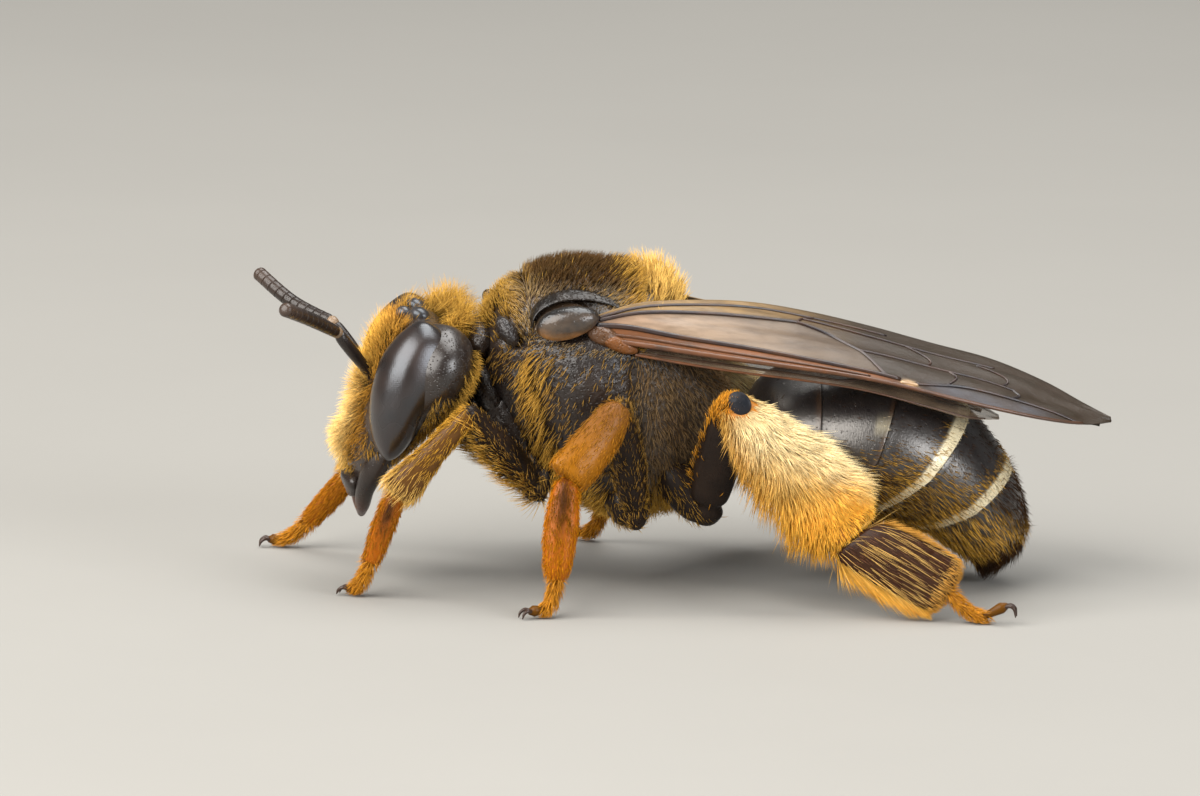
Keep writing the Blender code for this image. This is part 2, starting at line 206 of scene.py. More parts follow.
def tube_rows(points, radii, flat=1.0):
    """Rows of a round limb through these points, with rounded ends."""
    points = np.asarray(points, float)
    radii = np.broadcast_to(radii, len(points)).astype(float)
    ways = unit(np.gradient(points, axis=0))
    rows = []

    def row(centre, way, radius):
        aside = np.cross(way, (0.0, 0.0, 1.0))
        aside = unit(aside if np.linalg.norm(aside) > 0.2 else np.cross(way, (1.0, 0.0, 0.0)))
        up = np.cross(aside, way)
        rows.append((centre, aside * radius * flat, up * radius, -up * radius))

    for reach, size in reversed(ROUND_END):
        row(points[0] - ways[0] * radii[0] * reach, ways[0], radii[0] * size)
    for centre, way, radius in zip(points, ways, radii):
        row(centre, way, radius)
    for reach, size in ROUND_END:
        row(points[-1] + ways[-1] * radii[-1] * reach, ways[-1], radii[-1] * size)
    return rows


def add_ball(bm, centre, half, turn=None, around=24, along=16, tint=(1, 1, 1)):
    """Adds an ellipsoid with these half sizes."""
    layer = tint_layer(bm)
    verts = bmesh.ops.create_uvsphere(bm, u_segments=around, v_segments=along, radius=1.0)["verts"]
    place = Matrix.Translation(Vector(centre)) @ (turn or Matrix.Identity(3)).to_4x4() @ Matrix.Diagonal((*half, 1))
    bmesh.ops.transform(bm, matrix=place, verts=verts)
    for vert in verts:
        vert[layer] = (*tint, 1.0)
    return verts


# ---------------------------------------------------------------- pieces


def settle(name, mesh, paint, nodes):
    """Puts a finished mesh in the scene as a piece that stands for these solids."""
    mesh.materials.append(paint)
    piece = bpy.data.objects.new(name, mesh)
    bpy.context.scene.collection.objects.link(piece)
    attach(piece, "root")
    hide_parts(*nodes)
    return piece


def piece_from(name, bm, paint, nodes):
    """Finishes a bmesh made in millimetres."""
    bmesh.ops.recalc_face_normals(bm, faces=bm.faces)
    bmesh.ops.scale(bm, vec=(MM, MM, MM), verts=bm.verts)
    mesh = bpy.data.meshes.new(name)
    bm.to_mesh(mesh)
    bm.free()
    mesh.shade_smooth()
    return settle(name, mesh, paint, nodes)


# ---------------------------------------------------------------- coat

TRIES = 7  # places tried for each root
CORNERS = 3  # of a hair's rings
LENGTH_RANGE = (0.7, 1.15)  # of one hair, as a share of the length asked for
TUFT_SIZE = 0.22  # hairs this near each other lean alike
TUFT_LEAN, OWN_LEAN = 0.6, 0.52  # how far hairs stray together, and each by itself
LEAST_RISE = 0.15  # keeps every hair out of the skin
DROOP = 0.25  # how far a curled hair's tip turns back to the skin
TAPER, TAPER_POWER = 0.75, 1.6  # share of its width that a hair loses towards its tip, and how late
TINT_SPREAD, TINT_RANGE = 0.16, (0.55, 1.5)
# the tint darkens towards each hair's root as painted shade deep in the coat and is raised above its set colour at the
# tip as a painted glow; partly the hairs' own colour
UPPER_SHADE, TIP_SHADE = 1.14, 1.3  # the tint's share just below the tip, and at it
FLOOR_GAP, FLOOR_GIVE = 0.02, 0.1  # of what would reach below this height, only this share does
# size of a hair's patch on the unwrap, and the share of the unwrap that the roots are spread over
PATCH, SPREAD = 0.003, 0.99


def unwrap_strip(column, columns, wide):
    """The part of the unwrap for one group of hairs out of several: (left, low, width, height)."""
    return column / columns, 0, wide, SPREAD


def roots_on(form, count, seed, density=None, part=(0, 0, 1, 1)):
    """Hair roots spread evenly over a form, or by density: (points, outward directions, places on the unwrap)."""
    rng = np.random.default_rng(seed)
    tries = count * TRIES
    place, angle = rng.random(tries), rng.random(tries) * math.tau
    points = form.surface(place, angle)
    out, size = form.facing(place, angle)
    weight = size * (density(points, out) if density else 1.0)
    total = np.cumsum(weight)
    picks = np.unique(np.searchsorted(total, (np.arange(count) + rng.random(count)) / count * total[-1]))
    picks = picks[picks < tries]
    left, low, wide, high = part
    unwrap = np.stack([left + angle[picks] / math.tau * wide, low + place[picks] * high], axis=1)
    return points[picks], out[picks], unwrap


def hair_mesh(name, verts, levels):
    """A mesh of closed spikes, and the vertices of its faces: verts holds each hair's rings and then its tip."""
    n, size, _ = verts.shape
    rings = np.arange(levels * CORNERS).reshape(levels, CORNERS).tolist()
    edges = [(i, (i + 1) % CORNERS) for i in range(CORNERS)]
    faces = [(low[i], low[j], high[j], high[i]) for low, high in zip(rings, rings[1:]) for i, j in edges]
    faces += [(rings[-1][i], rings[-1][j], size - 1) for i, j in edges]
    faces.append(rings[0][::-1])
    corners = np.array([corner for face in faces for corner in face])
    loops = (np.arange(n)[:, None] * size + corners).reshape(-1)
    totals = np.tile([len(face) for face in faces], n)
    mesh = bpy.data.meshes.new(name)
    mesh.vertices.add(n * size)
    mesh.vertices.foreach_set("co", (verts * MM).astype(np.float32).reshape(-1))
    mesh.loops.add(len(loops))
    mesh.loops.foreach_set("vertex_index", loops.astype(np.int32))
    mesh.polygons.add(len(totals))
    mesh.polygons.foreach_set("loop_start", (np.cumsum(totals) - totals).astype(np.int32))
    mesh.update(calc_edges=True)
    return mesh, loops


def coat(name, nodes, slot, roots, *, length, width, lie, tint, rise, curl, unruly, seed, levels=3, root=0.42):
    """Tapered hairs, each a closed spike: they stand up from the skin by rise degrees and lean over along the lie.

    Curl bends their tips towards the lie, unruly turns them off it, and root is the tint's share at the skin, where the
    hair is darkened as painted shade in the coat.
    """
    points, out, unwrap = roots
    rng = np.random.default_rng(seed)
    n = len(points)
    length = np.broadcast_to(length, n) * rng.uniform(*LENGTH_RANGE, n)
    lie = np.broadcast_to(lie, (n, 3))
    flat = unit(lie - out * np.sum(lie * out, axis=1, keepdims=True))
    rise = np.radians(np.broadcast_to(rise, n))[:, None]
    start = out * np.sin(rise) + flat * np.cos(rise)
    stray = drift(points, TUFT_SIZE, seed) * TUFT_LEAN + rng.normal(size=(n, 3)) * OWN_LEAN
    start = unit(start + stray * unruly)
    low = np.sum(start * out, axis=1, keepdims=True)
    start = unit(start + out * np.maximum(LEAST_RISE - low, 0))
    aside = unit(np.cross(start, unit(rng.normal(size=(n, 3)))))
    over = np.cross(aside, start)
    bend = (flat - out * DROOP) * curl
    shares = np.linspace(0, 1, levels + 1)[:-1]
    radii = 0.5 * width * (1 - shares**TAPER_POWER * TAPER)
    rings = np.empty((n, levels, CORNERS, 3))
    for k, (share, radius) in enumerate(zip(shares, radii)):
        middle = points + length[:, None] * (start * share + bend * share**2)
        for corner in range(CORNERS):
            turn = math.tau * corner / CORNERS
            rings[:, k, corner] = middle + radius * (aside * math.cos(turn) + over * math.sin(turn))
    tips = points + length[:, None] * (start + bend)
    verts = np.concatenate([rings.reshape(n, -1, 3), tips[:, None]], axis=1)
    verts[..., 2] = np.maximum(verts[..., 2], FLOOR_GAP + FLOOR_GIVE * np.minimum(verts[..., 2] - FLOOR_GAP, 0))
    mesh, loops = hair_mesh(name, verts, levels)
    patch = [(corner / (CORNERS - 1), level / levels) for level in range(levels) for corner in range(CORNERS)]
    patch = np.array([*patch, (0.5, 1.0)]) * PATCH
    spots = (unwrap[:, None] * SPREAD + PATCH + patch[None]).reshape(-1, 2)
    mesh.uv_layers.new(name="OFBake").data.foreach_set("uv", spots[loops].astype(np.float32).reshape(-1))
    tint = np.broadcast_to(tint, (n, 3)) * rng.normal(1.0, TINT_SPREAD, (n, 1)).clip(*TINT_RANGE)
    # dark at the root and brighter than the tint at the tip: partly the hairs' own colour, partly painted shade and a
    # painted glow
    shade = np.append(np.repeat(root + (UPPER_SHADE - root) * shares, CORNERS), TIP_SHADE)
    colours = np.ones((n, len(shade), 4))
    colours[:, :, :3] = tint[:, None] * shade[None, :, None]
    layer = mesh.color_attributes.new(TINT, "FLOAT_COLOR", "POINT")
    layer.data.foreach_set("color", colours.astype(np.float32).reshape(-1))
    mesh.shade_smooth()
    return settle(name, mesh, hair_paint(), nodes)


class Growth:
    """Hair of several kinds that becomes one piece."""

    def __init__(self):
        self.kinds = []

    def add(self, roots, lie, length, tint, rise):
        n = len(roots[0])
        rows = np.broadcast_to(lie, (n, 3)), np.broadcast_to(tint, (n, 3))
        self.kinds.append((*roots, *rows, np.broadcast_to(length, n), np.broadcast_to(rise, n)))

    def coat(self, name, nodes, slot, **settings):
        *roots, lie, tint, length, rise = (np.concatenate(parts) for parts in zip(*self.kinds))
        return coat(name, nodes, slot, roots, length=length, lie=lie, tint=tint, rise=rise, **settings)


# ---------------------------------------------------------------- finishes

# sockets of a Mix node set to colours
MIX_SHARE, MIX_FIRST, MIX_SECOND, MIX_RESULT = 0, 6, 7, 2


class Paint:
    """A procedural finish: a Principled shader and the nodes that feed it, sized in millimetres."""

    def __init__(self, name, **sockets):
        self.material = bpy.data.materials.new(name)
        self.material.use_nodes = True
        self.tree = self.material.node_tree
        self.shader = self.tree.nodes["Principled BSDF"]
        self.place = self.node("ShaderNodeTexCoord").outputs["Object"]
        for words, value in sockets.items():
            self.shader.inputs[words.replace("_", " ").title().replace("Ior", "IOR")].default_value = value

    def node(self, kind, **settings):
        made = self.tree.nodes.new(kind)
        for key, value in settings.items():
            setattr(made, key, value)
        return made

    def feed(self, socket, value):
        if isinstance(value, bpy.types.NodeSocket):
            self.tree.links.new(value, socket)
        else:
            socket.default_value = value

    def noise(self, size, detail=3.0, rough=0.55, stretch=None):
        made = self.node("ShaderNodeTexNoise")
        self.feed(made.inputs["Vector"], self.stretched(stretch) if stretch else self.place)
        made.inputs["Scale"].default_value = 1 / (size * MM)
        made.inputs["Detail"].default_value = detail
        made.inputs["Roughness"].default_value = rough
        return made.outputs["Fac"]

    def cells(self, size, random=1.0):
        made = self.node("ShaderNodeTexVoronoi", feature="F1")
        self.feed(made.inputs["Vector"], self.place)
        made.inputs["Scale"].default_value = 1 / (size * MM)
        made.inputs["Randomness"].default_value = random
        return made.outputs["Distance"]

    def stretched(self, scale):
        made = self.node("ShaderNodeMapping")
        self.feed(made.inputs["Vector"], self.place)
        made.inputs["Scale"].default_value = scale
        return made.outputs["Vector"]

    def ramp(self, fac, low, high, start=0.0, end=1.0):
        """fac between low and high, mapped to start and end and held beyond them."""
        made = self.node("ShaderNodeMapRange")
        for key, value in (("Value", fac), ("From Min", low), ("From Max", high), ("To Min", start), ("To Max", end)):
            self.feed(made.inputs[key], value)
        return made.outputs["Result"]

    def mix(self, fac, a, b, blend="MIX"):
        made = self.node("ShaderNodeMix", data_type="RGBA", blend_type=blend)
        self.feed(made.inputs[MIX_SHARE], fac)
        self.feed(made.inputs[MIX_FIRST], a if isinstance(a, bpy.types.NodeSocket) else (*a, 1.0))
        self.feed(made.inputs[MIX_SECOND], b if isinstance(b, bpy.types.NodeSocket) else (*b, 1.0))
        return made.outputs[MIX_RESULT]

    def tint(self):
        """The piece's own colours."""
        return self.node("ShaderNodeAttribute", attribute_name=TINT).outputs["Color"]

    def bump(self, height, depth, strength=1.0, after=None):
        made = self.node("ShaderNodeBump")
        self.feed(made.inputs["Height"], height)
        made.inputs["Distance"].default_value = depth * MM
        made.inputs["Strength"].default_value = strength
        if after is not None:
            self.feed(made.inputs["Normal"], after)
        return made.outputs["Normal"]

    def base(self, colour):
        self.feed(self.shader.inputs["Base Color"], colour)

    def rough(self, value):
        self.feed(self.shader.inputs["Roughness"], value)

    def normal(self, value, coat=False):
        self.feed(self.shader.inputs["Normal"], value)
        if coat:
            self.feed(self.shader.inputs["Coat Normal"], value)


def kept(build):
    """Makes each finish once and hands the same one out again."""

    def asked(*args):
        key = "_".join([build.__name__, *map(str, args)])
        found = bpy.data.materials.get(key)
        if found is None:
            found = build(*args)
            found.name = key
        return found

    return asked


# colours of reflections
SKY_TINT = (0.82, 0.90, 1.0, 1.0)
COLD_TINT = (0.72, 0.86, 1.0, 1.0)
WARM_TINT = (1.0, 0.94, 0.86, 1.0)
# wrinkle size and depth, pit size and depth, shine, reflection
SHELL_GRAINS = {
    "punctured": (0.060, 0.002, 0.036, 0.009, 0.45, 0.45),
    "rugged": (0.16, 0.060, 0.048, 0.012, 0.12, 0.4),
    "sleek": (0.12, 0.005, 0.035, 0.003, 0.10, 0.4),
    "waxy": (0.10, 0.006, 0.035, 0.003, 0.03, 0.12),
}


@kept
def shell_paint(kind="punctured"):
    """Black-brown shell, tinted by the piece: punctured head, rugged thorax, sleek antennae and waxy legs."""
    looks = bpy.context.scene.bee_shell
    wrinkle, wrinkle_depth, pit, pit_depth, shine, reflection = SHELL_GRAINS[kind]
    paint = Paint("shell", coat_weight=shine, coat_roughness=0.22, specular_ior_level=reflection)
    grain = paint.noise(0.5, 4)
    tint = paint.mix(1.0, paint.tint(), tuple(looks.black), "MULTIPLY")
    paint.base(paint.mix(paint.ramp(grain, 0.35, 0.7), tint, (0.012, 0.007, 0.004), "ADD"))
    paint.rough(paint.ramp(paint.noise(0.12, 3), 0.3, 0.7, looks.gloss - 0.06, looks.gloss + 0.12))
    fine = paint.bump(paint.noise(wrinkle, 4), wrinkle_depth, 0.8)
    paint.normal(paint.bump(paint.ramp(paint.cells(pit), 0.05, 0.32), pit_depth, 0.9, fine), coat=True)
    return paint.material


@kept
def tergite_paint():
    """Glossy black plate with fine cross grain, and a translucent brown rim where the tint says so."""
    looks = bpy.context.scene.bee_shell
    paint = Paint("tergite", coat_weight=0.7, coat_roughness=0.30, specular_ior_level=0.8, specular_tint=WARM_TINT)
    paint.base(paint.mix(1.0, paint.tint(), tuple(looks.black), "MULTIPLY"))
    paint.rough(paint.ramp(paint.noise(0.2, 3), 0.3, 0.7, 0.26, 0.42))
    grain = paint.bump(paint.noise(0.035, 3, stretch=(1.6, 0.8, 1.0)), 0.006, 0.7)
    paint.normal(paint.bump(paint.ramp(paint.cells(0.06), 0.05, 0.2), 0.006, 0.6, grain), coat=True)
    return paint.material


@kept
def eye_paint():
    """Compound eye: glossy black-brown with hexagonal facets."""
    looks = bpy.context.scene.bee_shell
    paint = Paint("eye", coat_weight=0.35, coat_roughness=0.30, specular_ior_level=0.7, specular_tint=SKY_TINT)
    cloud = paint.noise(0.7, 2)
    paint.base(paint.mix(paint.ramp(cloud, 0.35, 0.7), tuple(looks.eye), (0.026, 0.014, 0.009)))
    paint.rough(paint.ramp(cloud, 0.3, 0.7, 0.24, 0.34))
    paint.normal(paint.bump(paint.cells(0.026, random=0.25), 0.004, 0.35))
    return paint.material


@kept
def ocellus_paint():
    paint = Paint("ocellus", coat_weight=0.3, coat_roughness=0.25, roughness=0.30, specular_tint=COLD_TINT)
    paint.base(paint.mix(paint.ramp(paint.noise(0.15, 1), 0.4, 0.7), (0.02, 0.018, 0.018), (0.05, 0.045, 0.045)))
    return paint.material


@kept
def tegula_paint():
    """Glossy, half-clear brown scale."""
    paint = Paint("tegula", coat_weight=0.7, coat_roughness=0.13, specular_ior_level=0.25, specular_tint=COLD_TINT)
    grain = paint.noise(0.25, 3)
    colour = paint.mix(paint.ramp(grain, 0.35, 0.65), (0.034, 0.026, 0.020), (0.075, 0.050, 0.032))
    paint.base(paint.mix(1.0, colour, paint.tint(), "MULTIPLY"))
    paint.rough(paint.ramp(grain, 0.3, 0.7, 0.34, 0.48))
    fine = paint.bump(paint.noise(0.06, 3), 0.008, 0.6)
    paint.normal(paint.bump(paint.ramp(paint.cells(0.05), 0.05, 0.3), 0.006, 0.6, fine), coat=True)
    return paint.material


@kept
def membrane_paint(kind):
    """Smoky wing skin with fine hairs: the tint carries cells and stains."""
    looks = bpy.context.scene.bee_wings
    paint = Paint("membrane", specular_ior_level=0.4, alpha=looks.clear if kind == "forewing" else looks.clear * 0.5)
    cloud = paint.noise(0.35, 4)
    tint = paint.tint()
    streaks = paint.noise(0.16, 4, stretch=(0.25, 1.0, 1.0))
    paint.base(paint.mix(paint.ramp(streaks, 0.38, 0.72, 0.0, 0.62), tint, (0.045, 0.028, 0.018)))
    paint.rough(paint.ramp(cloud, 0.3, 0.7, 0.34, 0.50))
    wrinkle = paint.bump(paint.noise(0.30, 4, stretch=(0.35, 1.6, 1.6)), 0.05, 0.4)
    paint.normal(paint.bump(paint.noise(0.03, 2), 0.004, 0.5, wrinkle))
    return paint.material


@kept
def vein_paint():
    paint = Paint("vein", coat_weight=0.3, coat_roughness=0.2)
    paint.base(paint.mix(paint.ramp(paint.noise(0.4, 3), 0.35, 0.7), paint.tint(), (0.05, 0.02, 0.008)))
    paint.rough(paint.ramp(paint.noise(0.1, 2), 0.3, 0.7, 0.28, 0.42))
    paint.normal(paint.bump(paint.noise(0.04, 3), 0.005, 0.5))
    return paint.material


@kept
def hair_paint():
    """One hair finish for the whole coat: each hair carries its own tint."""
    paint = Paint("hair", ior=1.2, specular_ior_level=0.3)
    cloud = paint.ramp(paint.noise(0.25, 2), 0.3, 0.7, 0.0, 0.2)
    paint.base(paint.mix(cloud, paint.tint(), (0.20, 0.08, 0.02)))
    paint.rough(paint.ramp(paint.noise(0.1, 2), 0.3, 0.7, 0.42, 0.62))
    return paint.material


# ---------------------------------------------------------------- head

HEAD_LEAN = math.radians(22)
HEAD_UP = np.array((math.sin(HEAD_LEAN), 0.0, math.cos(HEAD_LEAN)))
HEAD_FORWARD = np.array((-math.cos(HEAD_LEAN), 0.0, math.sin(HEAD_LEAN)))
EYE_HEIGHT, EYE_DEPTH = -0.03, 0.02  # the middle between the solids of the eyes, in the head
EYE_BULGE, EYE_LEVEL, EYE_HALF = 0.50, -0.02, 0.95  # reach aside, level of the middle and half height
# (height, front, rear) of an eye, with the cheek behind it
EYE_ROWS = (
    (0.925, 0.24, 0.24),
    (0.89, 0.36, 0.07),
    (0.76, 0.46, -0.04),
    (0.57, 0.55, -0.08),
    (0.30, 0.615, -0.12),
    (0.00, 0.60, -0.16),
    (-0.30, 0.54, -0.18),
    (-0.58, 0.43, -0.17),
    (-0.80, 0.28, -0.12),
    (-0.93, 0.12, -0.04),
    (-0.97, 0.04, 0.04),
)
# (height, depth of the ring's middle, half width, reach in front, reach behind)
HEAD_LEVELS = (
    (0.90, 0.10, 0.0, 0.0, 0.0),
    (0.885, 0.08, 0.50, 0.20, 0.26),
    (0.80, 0.02, 0.92, 0.38, 0.42),
    (0.58, 0.0, 1.18, 0.50, 0.56),
    (0.25, 0.0, 1.28, 0.55, 0.60),
    (-0.15, 0.0, 1.25, 0.56, 0.55),
    (-0.52, 0.0, 1.12, 0.53, 0.46),
    (-0.86, 0.02, 0.92, 0.46, 0.36),
    (-1.14, 0.04, 0.72, 0.37, 0.26),
    (-1.36, 0.05, 0.50, 0.24, 0.18),
    (-1.48, 0.06, 0.26, 0.12, 0.10),
    (-1.52, 0.06, 0.0, 0.0, 0.0),
)


OCELLI = ("left", "middle", "right")


def head_middle():
    eyes = (middle_of("eye_left") + middle_of("eye_right")) / 2
    return eyes - HEAD_UP * EYE_HEIGHT - HEAD_FORWARD * EYE_DEPTH


def in_head(height, aside, depth):
    """A place in the leaning head."""
    return head_middle() + HEAD_UP * height + HEAD_FORWARD * depth + Y_AXIS * aside


def head_place(points):
    """Height, side and depth of points in the leaning head."""
    away = points - head_middle()
    return away @ HEAD_UP, away[:, 1], away @ HEAD_FORWARD


def ocellus_at(place):
    """Where an ocellus sits on the crown's skin, under its solid."""
    aside = middle_of(f"ocellus_{place}")[1]
    return in_head(0.77, 0, 0.43) if place == "middle" else in_head(0.88, aside * 1.1, 0.27)


def head_form():
    def relief(points):
        height, aside, depth = head_place(points)
        front = rise_to(depth, 0.1, 0.4)
        clypeus = 0.10 * dip(height, -1.0, 0.30) * dip(aside, 0, 0.50) * front
        groove = -0.05 * dip(height, -0.66, 0.05) * dip(aside, 0, 0.45) * front
        ridge = 0.05 * dip(aside, 0, 0.10) * dip(height, -0.25, 0.3) * front
        cheek = 0.30 * dip(height, 0.44, 0.56) * dip(depth, -0.16, 0.36) * rise_to(np.abs(aside), 0.55, 0.9)
        return clypeus + groove + ridge + cheek

    rows = [
        (in_head(height, 0, middle), Y_AXIS * half, HEAD_FORWARD * front, -HEAD_FORWARD * behind)
        for height, middle, half, front, behind in HEAD_LEVELS
    ]
    return Form(rows, square=0.92, relief=relief)


def eye_form(side):
    across = middle_of(f"eye_{side}")[1]
    rows = []
    for height, front, rear in EYE_ROWS:
        swell = EYE_BULGE * math.sqrt(max(1 - ((height - EYE_LEVEL) / EYE_HALF) ** 2, 0))
        reach = HEAD_FORWARD * (front - rear) / 2
        flat = float(rise_to(height, -0.2, 0.25) * (1 - rise_to(height, 0.84, 0.93)))
        rows.append((in_head(height, across, (front + rear) / 2), Y_AXIS * swell, reach, -reach * (1 + 0.5 * flat)))
    return Form(rows)


def make_head():
    paint = shell_paint()
    bm = bmesh.new()

    def colour(points, _place, _angle):
        height, aside, depth = head_place(points)
        tints = np.ones((len(points), 3)) * (1.0, 0.85, 0.8)
        beside = rise_to(depth, 0.2, 0.4) * rise_to(np.abs(aside), 0.3, 0.6)
        tints = mixed(tints, (2.4, 1.6, 1.0), 0.8 * beside)
        return mixed(tints, (2.6, 1.4, 0.9), 0.5 * rise_to(-height, 1.0, 1.4) * rise_to(depth, 0.0, 0.4))

    add_form(bm, head_form(), 128, 84, colour)
    # the neck, tinted darker than the head as painted shade in the gap between head and thorax
    add_ball(bm, middle_of("neck"), (0.55, 0.34, 0.40), tint=(0.5, 0.4, 0.4))
    lean = Matrix.Rotation(HEAD_LEAN, 3, "Y")
    add_ball(bm, in_head(0.76, 0, 0.15), (0.28, 0.58, 0.17), lean, 48, 32, (1.0, 0.85, 0.8))
    piece_from("head_shell", bm, paint, ["head", "neck"])
    for side in SIDES:
        bm = bmesh.new()
        add_form(bm, eye_form(side), 72, 56)
        piece_from(f"eye_ball_{side}", bm, eye_paint(), [f"eye_{side}"])
    bm = bmesh.new()
    for place in OCELLI:
        size = 0.11 if place == "middle" else 0.14
        add_ball(bm, ocellus_at(place), (size, size, 0.10), lean, 28, 20)
    piece_from("ocelli", bm, ocellus_paint(), [f"ocellus_{place}" for place in OCELLI])
    make_jaws()


# (height, depth) along the upper lip, and (height, aside, depth) along a mandible from hinge to tip
LIP = ((-1.28, 0.21), (-1.46, 0.21), (-1.64, 0.13))
MANDIBLE = (
    (-1.00, 0.74, 0.05),
    (-1.22, 0.66, 0.07),
    (-1.48, 0.49, 0.05),
    (-1.70, 0.30, -0.02),
    (-1.84, 0.12, -0.08),
)


def make_jaws():
    """Both mandibles and the upper lip."""
    bm = bmesh.new()

    def dark(points, _place, _angle):
        height, _, _ = head_place(points)
        return mixed((0.9, 0.7, 0.6), (5.2, 1.6, 0.7), 0.6 * rise_to(-height, 1.60, 1.85))

    for sign in SIDES.values():
        points = [in_head(height, sign * aside, depth) for height, aside, depth in MANDIBLE]
        add_form(bm, Form(tube_rows(points, (0.16, 0.17, 0.15, 0.13, 0.08), flat=0.8)), 24, 28, dark)
    lip = [in_head(height, 0, depth) for height, depth in LIP]
    add_form(bm, Form(tube_rows(lip, (0.14, 0.14, 0.09), flat=3.0)), 28, 18, dark)
    piece_from("jaws", bm, shell_paint("sleek"), ["mandible_left", "mandible_right"])


# (socket, elbow, middle, tip): the bends are those of the solids, and the ends lie a little past theirs
ANTENNAE = {
    "left": ((-4.14, -0.30, 2.72), (-4.64, -0.60, 3.36), (-5.02, -1.08, 3.62), (-5.44, -1.68, 3.87)),
    "right": ((-4.14, 0.30, 2.72), (-4.60, 0.60, 3.28), (-5.10, 1.08, 3.46), (-5.54, 1.60, 3.77)),
}
FLAGELLUM_JOINTS = 10


def make_antennae():
    """Each antenna: the long scape, a pale bead, a short cone and the drums of the flagellum."""
    shell = even_tint((0.9, 0.75, 0.7))
    for side, (socket, elbow, middle, tip) in ANTENNAE.items():
        bm = bmesh.new()
        socket, elbow = np.array(socket), np.array(elbow)
        way = elbow - socket
        spots = [socket + way * share for share in (0, 0.06, 0.25, 0.6, 0.90)]
        add_form(bm, Form(tube_rows(spots, (0.090, 0.066, 0.070, 0.084, 0.080))), 20, 28, shell)
        path = np.array((elbow + way * 0.02, *map(np.array, (middle, tip))))
        stops = spline(path, np.linspace(0, 1, FLAGELLUM_JOINTS + 3))
        step = stops[1] - stops[0]
        bead = Form(tube_rows((stops[0] - step * 0.10, stops[0] + step * 0.45), 0.078))
        add_form(bm, bead, 18, 10, even_tint((16.0, 13.0, 9.0)))
        add_form(bm, Form(tube_rows((stops[0] + step * 0.60, stops[1]), (0.066, 0.078))), 18, 12, shell)
        for i in range(1, FLAGELLUM_JOINTS + 2):
            a, b = stops[i], stops[min(i + 1, len(stops) - 1)]
            radius = 0.080 + 0.014 * min(i / 5, 1)
            last = i == FLAGELLUM_JOINTS + 1
            rows = [a + (b - a) * s for s in (0.0, 0.12, 0.6, 0.97)]
            radii = (radius * 0.96, radius, radius, radius * (0.75 if last else 0.97))
            warm = 1.0 + 2.4 * float(rise_to(i, 6, 11))
            add_form(bm, Form(squared_off(rows, radii)), 20, 14, even_tint((warm, warm * 0.75, warm * 0.6)))
        piece_from(f"antenna_{side}", bm, shell_paint("sleek"), [f"scape_{side}", f"flagellum_{side}"])


def squared_off(points, radii):
    """Rows of a short drum with nearly flat ends, as an antenna's joints have."""
    rows = tube_rows(points, radii)
    for row, anchor in ((0, 2), (1, 2), (-1, -3), (-2, -3)):
        centre, *rest = rows[row]
        rows[row] = (centre * 0.3 + rows[anchor][0] * 0.7, *rest)
    return rows


# ---------------------------------------------------------------- thorax

# (x, widest level, top, underside, half width)
THORAX_RINGS = (
    (-2.70, 2.95, 2.95, 2.95, 0.0),
    (-2.68, 2.97, 3.32, 2.66, 0.42),
    (-2.58, 3.00, 3.62, 2.46, 0.80),
    (-2.34, 3.04, 3.90, 2.06, 1.12),
    (-1.95, 3.08, 4.11, 1.56, 1.34),
    (-1.50, 3.08, 4.20, 1.20, 1.46),
    (-1.02, 3.05, 4.16, 1.00, 1.45),
    (-0.58, 3.00, 4.02, 0.98, 1.33),
    (-0.20, 2.88, 3.80, 1.08, 1.16),
    (0.10, 2.70, 3.34, 1.26, 1.00),
    (0.38, 2.46, 2.86, 1.55, 0.78),
    (0.58, 2.28, 2.54, 1.82, 0.50),
    (0.68, 2.18, 2.34, 2.00, 0.25),
    (0.70, 2.17, 2.17, 2.17, 0.0),
)
TEGULA_SHIFT = (0.02, 0, 0.10)  # from the middle of its solid to the wing scale
TEGULA_HALF = (0.42, 0.20, 0.22)
TEGULA_GROOVE = (0.47, 0.31)  # the groove round a wing scale, half its length and height


def in_oval(x, z, centre, half):
    """Distance from the middle of an oval seen from the side, 1 at its edge."""
    return np.hypot((x - centre[0]) / half[0], (z - centre[-1]) / half[-1])


def thorax_form():
    tegula = middle_of("tegula_left") + TEGULA_SHIFT

    def relief(points):
        x, y, z = points.T
        side = rise_to(np.abs(y), 0.75, 1.05)
        top = rise_to(z, 3.3, 3.7)
        sutures = -0.06 * dip(x, -0.66, 0.05) * top - 0.06 * dip(x, -0.10, 0.06) * rise_to(z, 2.9, 3.3)
        scutellum = 0.05 * dip(x, -0.40, 0.18) * top
        seam = 3.36 + 0.20 * (x + 2.4)
        below_wing = -0.09 * dip(z, seam, 0.07) * side * rise_to(-x, 0.4, 0.9)
        reach = in_oval(x, z, tegula, TEGULA_GROOVE)
        round_tegula = -0.15 * dip(reach, 1.0, 0.15) * side * rise_to(z, tegula[2] - 0.1, tegula[2] + 0.1)
        pleuron = 0.11 * dip(x, -1.42, 0.42) * dip(z, 2.80, 0.40) * side
        edge = -0.07 * dip(x + 0.35 * (z - 2.3), -2.02, 0.09) * side * rise_to(-z, -3.2, -2.9)
        rear = -0.07 * dip(x + 0.1 * (z - 2.3), -0.75, 0.07) * side * rise_to(-z, -3.3, -3.0)
        hip = -0.05 * dip(z, 1.55, 0.10) * side * rise_to(x, -1.6, -1.2)
        return sutures + scutellum + below_wing + round_tegula + pleuron + edge + rear + hip

    rows = [
        ((x, 0, widest), Y_AXIS * half, (0, 0, top - widest), (0, 0, under - widest))
        for x, widest, top, under, half in THORAX_RINGS
    ]
    return Form(rows, square=0.90, relief=relief)


